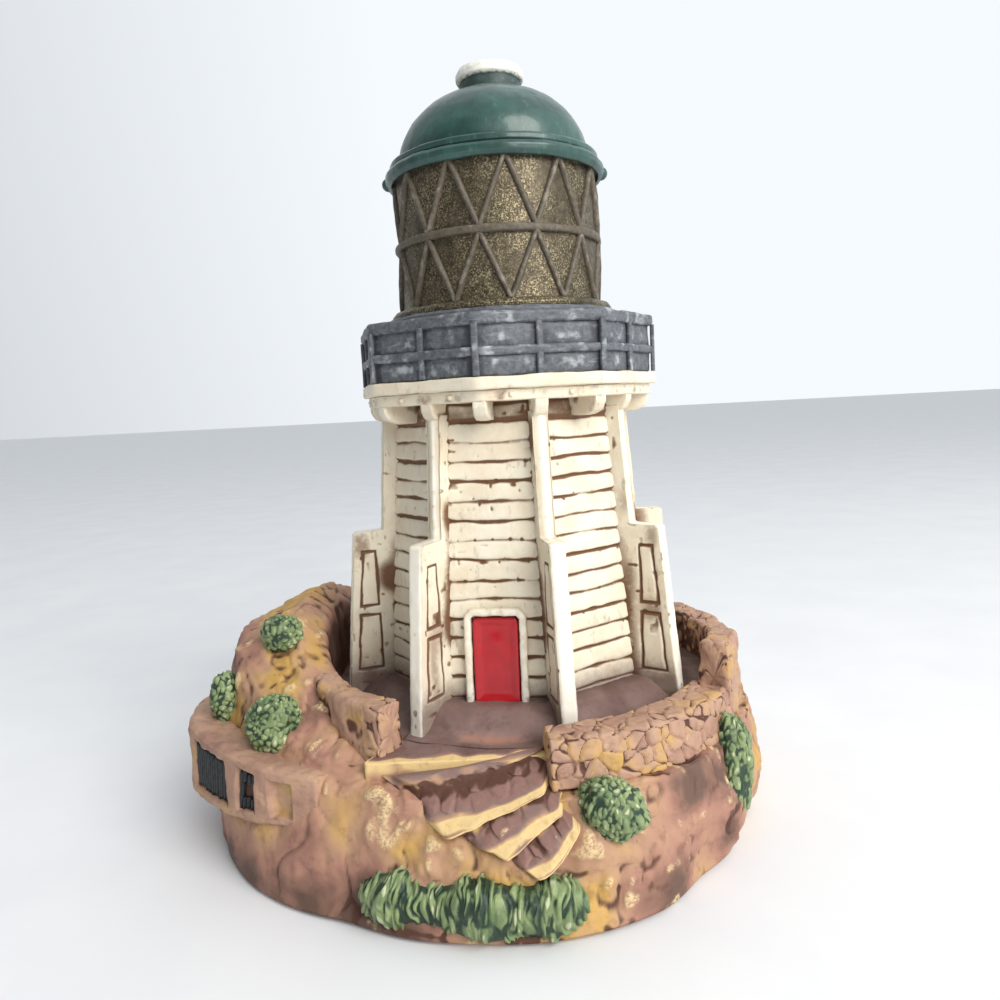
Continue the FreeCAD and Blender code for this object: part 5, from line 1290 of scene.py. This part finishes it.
def dome_pieces(green, neck_finish, cap_finish):
    """Gutter, bead and dome are turned profiles; the dome's is half an ellipse. Knobs and lugs stand on two
    sides."""
    gutter = lathe(relaxed(spread([(CORE_R, DRUM_TOP), (20.75, DRUM_TOP), (20.8, 127.1), (21.5, 127.1),
                                   (22.0, 127.9), (22.05, 128.9), (21.5, GUTTER_TOP), (20.4, 129.7),
                                   (CORE_R, 129.7)], [6, 3, 4, 6, 6, 6, 6, 4]), 1),
                   columns=260, wobble=0.12, seed=711, cell=3.5)
    piece("eaves_gutter", [gutter], green, ("dome_gutter",), [edge_relief(gutter, gain=0.8)])
    angle = np.radians(np.linspace(0.0, 66.0, 90))
    curve = np.stack([DOME_R * np.cos(angle), BEAD_TOP + DOME_RISE * np.sin(angle)], -1)
    bead = spread([(CORE_R, GUTTER_TOP), (20.5, GUTTER_TOP), (20.95, 130.1), (20.9, 130.9), (20.4, 131.3),
                   (19.5, 131.2)], [6, 4, 5, 4, 5])
    top = spread([tuple(curve[-1]), (2.0, NECK_BOTTOM + 0.3)], [8])
    profile = np.concatenate([bead[:-1], curve[2:-1], top])
    dome = lathe(profile, columns=280, wobble=0.14, seed=721, cell=6.0)
    relief = edge_relief(dome, reach=4, gain=0.7) + 0.1 * rough(dome, 3.0, 722)
    piece("dome_roof", [dome], green, ("dome_shell",), [relief])
    knobs = []
    for bearing in KNOB_DEG:
        for drop in (2.6, 6.0):
            z = BEAD_TOP + DOME_RISE - drop
            radius = DOME_R * math.sqrt(1.0 - ((z - BEAD_TOP) / DOME_RISE) ** 2)
            knobs.append(ball_grid(place(bearing, radius, z), 0.82))
    piece("dome_knobs", knobs, green, ("dome_rungs",))
    lugs = [ball_grid(place(bearing, 21.6, 128.4), 1.35) for bearing in KNOB_DEG]
    piece("gutter_spouts", lugs, green, ("gutter_lugs",))
    neck = lathe(spread([(1.5, NECK_BOTTOM - 0.2), (6.3, NECK_BOTTOM - 0.2), (6.0, 144.4), (6.05, NECK_TOP + 0.1),
                         (1.5, NECK_TOP + 0.1)], [4, 4, 16, 4]), columns=120, wobble=0.08, seed=731, cell=2.5)
    piece("vent_collar", [neck], neck_finish, ("vent_neck",))
    cap = lathe(relaxed(spread([(1.0, NECK_TOP), (6.4, NECK_TOP - 0.1), (6.75, 147.3), (6.75, 148.3),
                                (6.2, 149.2), (5.2, 149.5), (1.0, 149.5)], [6, 5, 6, 6, 6, 8]), 1),
                columns=140, wobble=0.1, seed=741, cell=2.0)
    piece("vent_lid", [cap], cap_finish, ("vent_cap",))


# ---------------------------------------------------------------- settings
class LighthouseColours(bpy.types.PropertyGroup):
    """Paint colours, as linear red, green and blue."""

    def colour(name, text, value):
        return bpy.props.FloatVectorProperty(name=name, description=text, default=value, size=3, min=0.0, max=1.0,
                                             subtype="COLOR")

    cream: colour("Cream", "Lit ivory paint of the tower", (0.83, 0.77, 0.62))
    cream_shade: colour("Cream shade", "Duller patches of the tower's paint", (0.74, 0.63, 0.47))
    # Also the painted shade in the tower's corners, under the frieze and along the board laps.
    cream_wash_and_shade: colour("Cream wash", "Brown wash in the tower's grooves", (0.16, 0.075, 0.035))
    rock_ochre: colour("Rock ochre", "Yellow of the rock", (0.56, 0.34, 0.1))
    rock_tan: colour("Rock tan", "Tan of the rock", (0.48, 0.285, 0.17))
    rock_pink: colour("Rock pink", "Pinkish brown of the rock", (0.39, 0.2, 0.145))
    # Also the painted shade on the mound's inner face.
    rock_deep: colour("Rock deep", "Dark brown of the mound's inner face", (0.14, 0.08, 0.058))
    step_riser: colour("Step riser", "Purple-brown of the risers", (0.27, 0.15, 0.125))
    step_nosing: colour("Step nosing", "Yellow cream of the treads", (0.78, 0.57, 0.27))
    # Also the painted shade and shadow where the relief is low: the mound's inner face, the inside of the court
    # walls and the crevices under the steps.
    rock_wash_and_shade: colour("Rock wash", "Dark wash in the rock's cracks", (0.1, 0.042, 0.028))
    rock_light: colour("Rock light", "Dry-brushed edges of the rock", (0.72, 0.55, 0.3))
    stone: colour("Stone", "Pink-tan of the walls", (0.34, 0.19, 0.14))
    stone_light: colour("Stone light", "Paler stones", (0.47, 0.29, 0.2))
    court: colour("Court", "Plum brown of the court", (0.135, 0.08, 0.07))
    court_light: colour("Court light", "Worn plum of the court", (0.25, 0.165, 0.145))
    slate: colour("Slate", "Blue-grey of the gallery", (0.18, 0.195, 0.215))
    slate_dark: colour("Slate dark", "Darkest slate in the gallery's hollows", (0.05, 0.055, 0.065))
    slate_light: colour("Slate light", "Brushed pale strokes on the gallery", (0.36, 0.39, 0.42))
    bronze: colour("Bronze", "Bronze ground of the lantern", (0.11, 0.09, 0.055))
    bronze_dark: colour("Bronze dark", "Darkest bronze of the lantern", (0.035, 0.025, 0.015))
    gold: colour("Gold", "Gold flakes on the lantern", (0.5, 0.42, 0.25))
    lattice: colour("Lattice", "Paint of the glazing bars", (0.155, 0.127, 0.09))
    lattice_dark: colour("Lattice dark", "Darker paint of the glazing bars", (0.06, 0.05, 0.036))
    green: colour("Green", "Bottle green of the dome", (0.03, 0.095, 0.078))
    green_dark: colour("Green dark", "Deep green of the dome", (0.01, 0.04, 0.034))
    green_light: colour("Green light", "Rubbed edges of the dome", (0.26, 0.4, 0.36))
    cap: colour("Cap", "Off-white of the vent cap", (0.92, 0.9, 0.82))
    door: colour("Door", "Red of the door", (0.42, 0.007, 0.013))
    leaf: colour("Leaf", "Green of the planting", (0.28, 0.36, 0.16))
    leaf_dark: colour("Leaf dark", "Shaded green of the planting", (0.12, 0.18, 0.075))
    # Painted highlight on the leaf tips.
    leaf_highlight: colour("Leaf tip", "Pale dabs on the leaves", (0.58, 0.6, 0.4))


class LighthouseView(bpy.types.PropertyGroup):
    """Where the photograph was taken from, and how the floor is lit."""

    distance: bpy.props.FloatProperty(name="Distance", description="Camera to the tower's axis, level",
                                      default=0.17207, unit="LENGTH", min=0.05)
    eye: bpy.props.FloatProperty(name="Eye height", description="Camera above the ground", default=0.08318,
                                 unit="LENGTH")
    bearing: bpy.props.FloatProperty(name="Bearing", description="Camera round from the front towards the right",
                                     default=math.radians(9.35), subtype="ANGLE", unit="ROTATION")
    pan: bpy.props.FloatProperty(name="Pan", description="Camera turned off the tower's axis",
                                 default=math.radians(-0.8), subtype="ANGLE", unit="ROTATION")
    pitch: bpy.props.FloatProperty(name="Pitch", description="Camera tipped down", default=math.radians(6.75),
                                   subtype="ANGLE", unit="ROTATION")
    roll: bpy.props.FloatProperty(name="Roll", description="Camera turned about its view", subtype="ANGLE",
                                  default=math.radians(-3.08), unit="ROTATION")
    lens: bpy.props.FloatProperty(name="Lens", description="Focal length on a 36 mm wide sensor, in millimetres",
                                  default=29.31, min=5.0)
    key_power: bpy.props.FloatProperty(name="Key light", description="Power of the large light at the right",
                                       default=8.0, min=0.0, unit="POWER")
    fill_power: bpy.props.FloatProperty(name="Fill light", description="Power of the light at the front left",
                                        default=0.05, min=0.0, unit="POWER")


# ---------------------------------------------------------------- operators
def spun(a, b, angle):
    """Two vectors at right angles, both turned in their plane, the first towards the second."""
    return a * math.cos(angle) + b * math.sin(angle), b * math.cos(angle) - a * math.sin(angle)


class Builder:
    """Shared by the operators: the settings of the scene they run in."""

    bl_options = {"REGISTER", "UNDO"}

    @staticmethod
    def colours():
        """The paint colours that the panel's settings hold."""
        return bpy.context.scene.lighthouse_colours

    def rock_finish(self):
        """Deep, pink, tan and ochre in turn, as the rock's tone rises."""
        c = self.colours()
        return washed_paint("rock_paint", [c.rock_deep, c.rock_pink, c.rock_tan, c.rock_ochre], c.rock_wash_and_shade,
                            c.rock_light, patch=10.0, grime=2.6, groove=0.42, edge=0.76, speckle=0.14, dirt=0.4,
                            by_tone=0.55)

    def steps_finish(self):
        """Purple-brown risers and yellow nosings, picked by the steps' tone."""
        c = self.colours()
        return washed_paint("steps_paint", [c.step_riser, c.court_light, c.rock_tan, c.step_nosing], c.rock_wash_and_shade,
                            c.rock_light, patch=5.0, grime=1.2, groove=0.3, edge=0.82, speckle=0.12, dirt=0.25,
                            by_tone=0.75)

    def stone_finish(self):
        """Stones of the court walls and the terrace."""
        c = self.colours()
        return washed_paint("stone_paint", [c.stone, c.stone_light, c.rock_ochre], c.rock_wash_and_shade, c.rock_light,
                            patch=7.0, grime=1.6, groove=0.38, edge=0.74, speckle=0.2, dirt=0.3)


class LIGHTHOUSE_OT_stage(Builder, bpy.types.Operator):
    """Lay the pale floor, hang the soft lights and set the camera where the photograph was taken"""
    bl_idname = "lighthouse.stage"
    bl_label = "Stage"

    def execute(self, context):
        view = context.scene.lighthouse_view
        context.scene.view_settings.view_transform = "Standard"
        bpy.ops.mesh.primitive_plane_add(size=12.0, location=(0.0, 0.0, 0.0))
        floor = context.active_object
        floor.name = "floor"
        paint = Paint("floor_paper", roughness=0.75, specular=0.2)
        grain = paint.noise(30.0, 3.0, 0.5)
        paper = paint.ramp(grain, [(0.3, (0.8, 0.81, 0.83)), (0.7, (0.84, 0.85, 0.86))])
        floor.data.materials.append(paint.done(paper))
        world = bpy.data.worlds.new("studio")
        context.scene.world = world
        world.use_nodes = True
        tree = world.node_tree
        background = tree.nodes["Background"]
        background.inputs["Color"].default_value = (0.92, 0.96, 1.0, 1.0)
        side = tree.nodes.new("ShaderNodeVectorMath")
        side.operation = "DOT_PRODUCT"
        side.inputs[1].default_value = (0.6, 0.75, 0.25)
        tree.links.new(tree.nodes.new("ShaderNodeTexCoord").outputs["Generated"], side.inputs[0])
        bright = tree.nodes.new("ShaderNodeMapRange")
        for socket, value in (("From Min", -0.8), ("From Max", 0.6), ("To Min", 0.15), ("To Max", 1.0)):
            bright.inputs[socket].default_value = value
        tree.links.new(side.outputs["Value"], bright.inputs["Value"])
        tree.links.new(bright.outputs["Result"], background.inputs["Strength"])
        self.lamp("key", (0.55, -0.5, 0.52), 0.6, view.key_power, (1.0, 0.97, 0.93))
        self.lamp("fill", (-0.35, -0.4, 0.3), 0.5, view.fill_power, (0.93, 0.96, 1.0))
        forward = Vector((-math.sin(view.bearing), math.cos(view.bearing), 0.0))
        right = Vector((math.cos(view.bearing), math.sin(view.bearing), 0.0))
        up = Vector((0.0, 0.0, 1.0))
        eye = -forward * view.distance + up * view.eye
        forward, right = spun(forward, right, view.pan)
        forward, up = spun(forward, up, -view.pitch)
        right, up = spun(right, up, view.roll)
        camera_data = bpy.data.cameras.new("photograph")
        camera_data.sensor_width = 36.0
        camera_data.lens = view.lens
        camera_data.clip_start = 0.005
        camera_data.clip_end = 20.0
        camera = bpy.data.objects.new("photograph", camera_data)
        context.scene.collection.objects.link(camera)
        camera.matrix_world = Matrix.Translation(eye) @ Matrix((right, up, -forward)).transposed().to_4x4()
        context.scene.camera = camera
        return {"FINISHED"}

    @staticmethod
    def lamp(name, spot, size, power, colour):
        """Square area light at a spot, turned to the middle of the object."""
        data = bpy.data.lights.new(name, "AREA")
        data.size = size
        data.energy = power
        data.color = colour
        lamp = bpy.data.objects.new(name, data)
        bpy.context.scene.collection.objects.link(lamp)
        lamp.location = spot
        aim = Vector((0.0, 0.0, 0.07)) - Vector(spot)
        lamp.rotation_euler = aim.to_track_quat("-Z", "Y").to_euler()


class LIGHTHOUSE_OT_rock(Builder, bpy.types.Operator):
    """Sculpt the rock with its mound, and the winder steps"""
    bl_idname = "lighthouse.rock"
    bl_label = "Rock and steps"

    def execute(self, context):
        rock_piece(self.rock_finish())
        steps_piece(self.steps_finish())
        return {"FINISHED"}


class LIGHTHOUSE_OT_court(Builder, bpy.types.Operator):
    """Pave the court and build its stone walls"""
    bl_idname = "lighthouse.court"
    bl_label = "Court and walls"

    def execute(self, context):
        c = self.colours()
        plums = [c.court, c.court_light, c.rock_pink, c.step_nosing]
        paving = washed_paint("court_paint", plums, (0.05, 0.02, 0.018), (0.45, 0.34, 0.31), patch=8.0, grime=2.0,
                              groove=0.34, edge=0.8, speckle=0.15, dirt=0.35, roughness=0.55, by_tone=0.7)
        court_piece(paving)
        stone = self.stone_finish()
        stone_wall("low_wall", (15.0, 69.0), 37.8, 45.6, low_wall_top, stone,
                   ("court_wall_low", "low_wall_paving"), seed=801, cell=3.4, skirt=1.2)
        stone_wall("high_wall_right", (68.0, 238.0), COURT_R, HIGH_WALL_R, right_wall_top, stone,
                   ("court_wall_high",), seed=821, cell=3.6, skirt=0.6, natural=0.35)
        stone_wall("high_wall_left", (297.0, 336.5), COURT_R, HIGH_WALL_R, left_wall_top, stone,
                   ("high_wall_coping",), seed=841, cell=3.8, skirt=0.9, natural=1.0)
        return {"FINISHED"}


class LIGHTHOUSE_OT_terrace(Builder, bpy.types.Operator):
    """Build the terrace's retaining wall and the dark hatching in its bays"""
    bl_idname = "lighthouse.terrace"
    bl_label = "Terrace"

    def execute(self, context):
        terrace_piece(self.stone_finish())
        paint = Paint("slat_paint", roughness=0.45, specular=0.4)
        fine = paint.noise(1.0, 4.0, 0.6)
        paint.bump(fine, 0.3, 0.2)
        slats_piece(paint.done(paint.ramp(fine, [(0.35, (0.006, 0.008, 0.009)), (0.8, (0.045, 0.05, 0.055))])))
        return {"FINISHED"}


class LIGHTHOUSE_OT_planting(Builder, bpy.types.Operator):
    """Plant the five shrubs and the hedge at the front"""
    bl_idname = "lighthouse.planting"
    bl_label = "Planting"

    def execute(self, context):
        finish = foliage_paint(self.colours())
        for place_name, where, size, seed, strand in (
                ("on_mound", (-65.0, 49.0, 39.4), (4.4, 3.8, 3.8), 901, 1.2),
                ("below_mound", (-49.0, 54.0, 27.0), (5.4, 4.6, 5.6), 911, 1.2),
                ("on_terrace", (-66.0, 60.6, 26.8), (3.4, 3.4, 5.6), 921, 1.2),
                ("front_right", (25.0, 50.0, 18.0), (5.6, 4.6, 5.0), 931, (1.0, 1.0, 3.0)),
                ("right", (62.0, 47.6, 14.5), (4.0, 5.2, 9.6), 941, (1.2, 1.2, 3.0))):
            bush("bush_" + place_name, place(*where), size, finish, "shrub_" + place_name, seed, strand)
        hedge_piece(finish)
        return {"FINISHED"}


class LIGHTHOUSE_OT_tower(Builder, bpy.types.Operator):
    """Board the eight sides of the tower and stand the eight buttresses between them"""
    bl_idname = "lighthouse.tower"
    bl_label = "Boards and buttresses"

    def execute(self, context):
        finish = cream_paint(self.colours())
        sides = ("front", "front_right", "right", "back_right", "back", "back_left", "left", "front_left")
        for i, side in enumerate(sides):
            boards_piece("weatherboards_" + side, i, finish, "boards_" + side)
            buttress_piece("rib_" + str(i + 1), i, finish, "buttress_" + str(i + 1))
        door_pieces(door_gloss(self.colours()), finish)
        cornice_pieces(finish)
        return {"FINISHED"}


class LIGHTHOUSE_OT_gallery(Builder, bpy.types.Operator):
    """Build the gallery's walk, panels, rails and posts"""
    bl_idname = "lighthouse.gallery"
    bl_label = "Gallery"

    def execute(self, context):
        gallery_pieces(slate_paint(self.colours()))
        return {"FINISHED"}


class LIGHTHOUSE_OT_lantern(Builder, bpy.types.Operator):
    """Build the lantern with its lattice, and the dome, vent and cap above it"""
    bl_idname = "lighthouse.lantern"
    bl_label = "Lantern and dome"

    def execute(self, context):
        c = self.colours()
        lantern_pieces(slate_paint(c), bronze_paint(c), lattice_paint(c))
        dome_pieces(green_paint(c), neck_paint(), chipped_white(c))
        return {"FINISHED"}


class LIGHTHOUSE_OT_hidden(Builder, bpy.types.Operator):
    """Finish the castings that stay as the frame has them: the felt pad and the tower's core"""
    bl_idname = "lighthouse.hidden"
    bl_label = "Felt and core"

    def execute(self, context):
        for node, finish in (("felt_pad", felt_cloth()), ("tower_core", backing_resin())):
            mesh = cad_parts[node].data
            mesh.materials.clear()
            mesh.materials.append(finish)
        return {"FINISHED"}


STEPS = (LIGHTHOUSE_OT_stage, LIGHTHOUSE_OT_rock, LIGHTHOUSE_OT_court, LIGHTHOUSE_OT_terrace,
         LIGHTHOUSE_OT_planting, LIGHTHOUSE_OT_tower, LIGHTHOUSE_OT_gallery, LIGHTHOUSE_OT_lantern,
         LIGHTHOUSE_OT_hidden)


class LIGHTHOUSE_PT_panel(bpy.types.Panel):
    """Lists the building steps in the sidebar"""
    bl_idname = "LIGHTHOUSE_PT_panel"
    bl_label = "Lighthouse"
    bl_space_type = "VIEW_3D"
    bl_region_type = "UI"
    bl_category = "Lighthouse"

    def draw(self, context):
        for operator in STEPS:
            self.layout.operator(operator.bl_idname)


CLASSES = (LighthouseColours, LighthouseView) + STEPS + (LIGHTHOUSE_PT_panel,)


def register():
    """Add the settings, the operators and the panel."""
    for each in CLASSES:
        bpy.utils.register_class(each)
    bpy.types.Scene.lighthouse_colours = bpy.props.PointerProperty(type=LighthouseColours)
    bpy.types.Scene.lighthouse_view = bpy.props.PointerProperty(type=LighthouseView)


def unregister():
    """Take them away again."""
    del bpy.types.Scene.lighthouse_view
    del bpy.types.Scene.lighthouse_colours
    for each in reversed(CLASSES):
        bpy.utils.unregister_class(each)


def main():
    """Run every step in turn."""
    register()
    for operator in STEPS:
        group, name = operator.bl_idname.split(".")
        getattr(getattr(bpy.ops, group), name)()


if __name__ == "__main__":
    main()
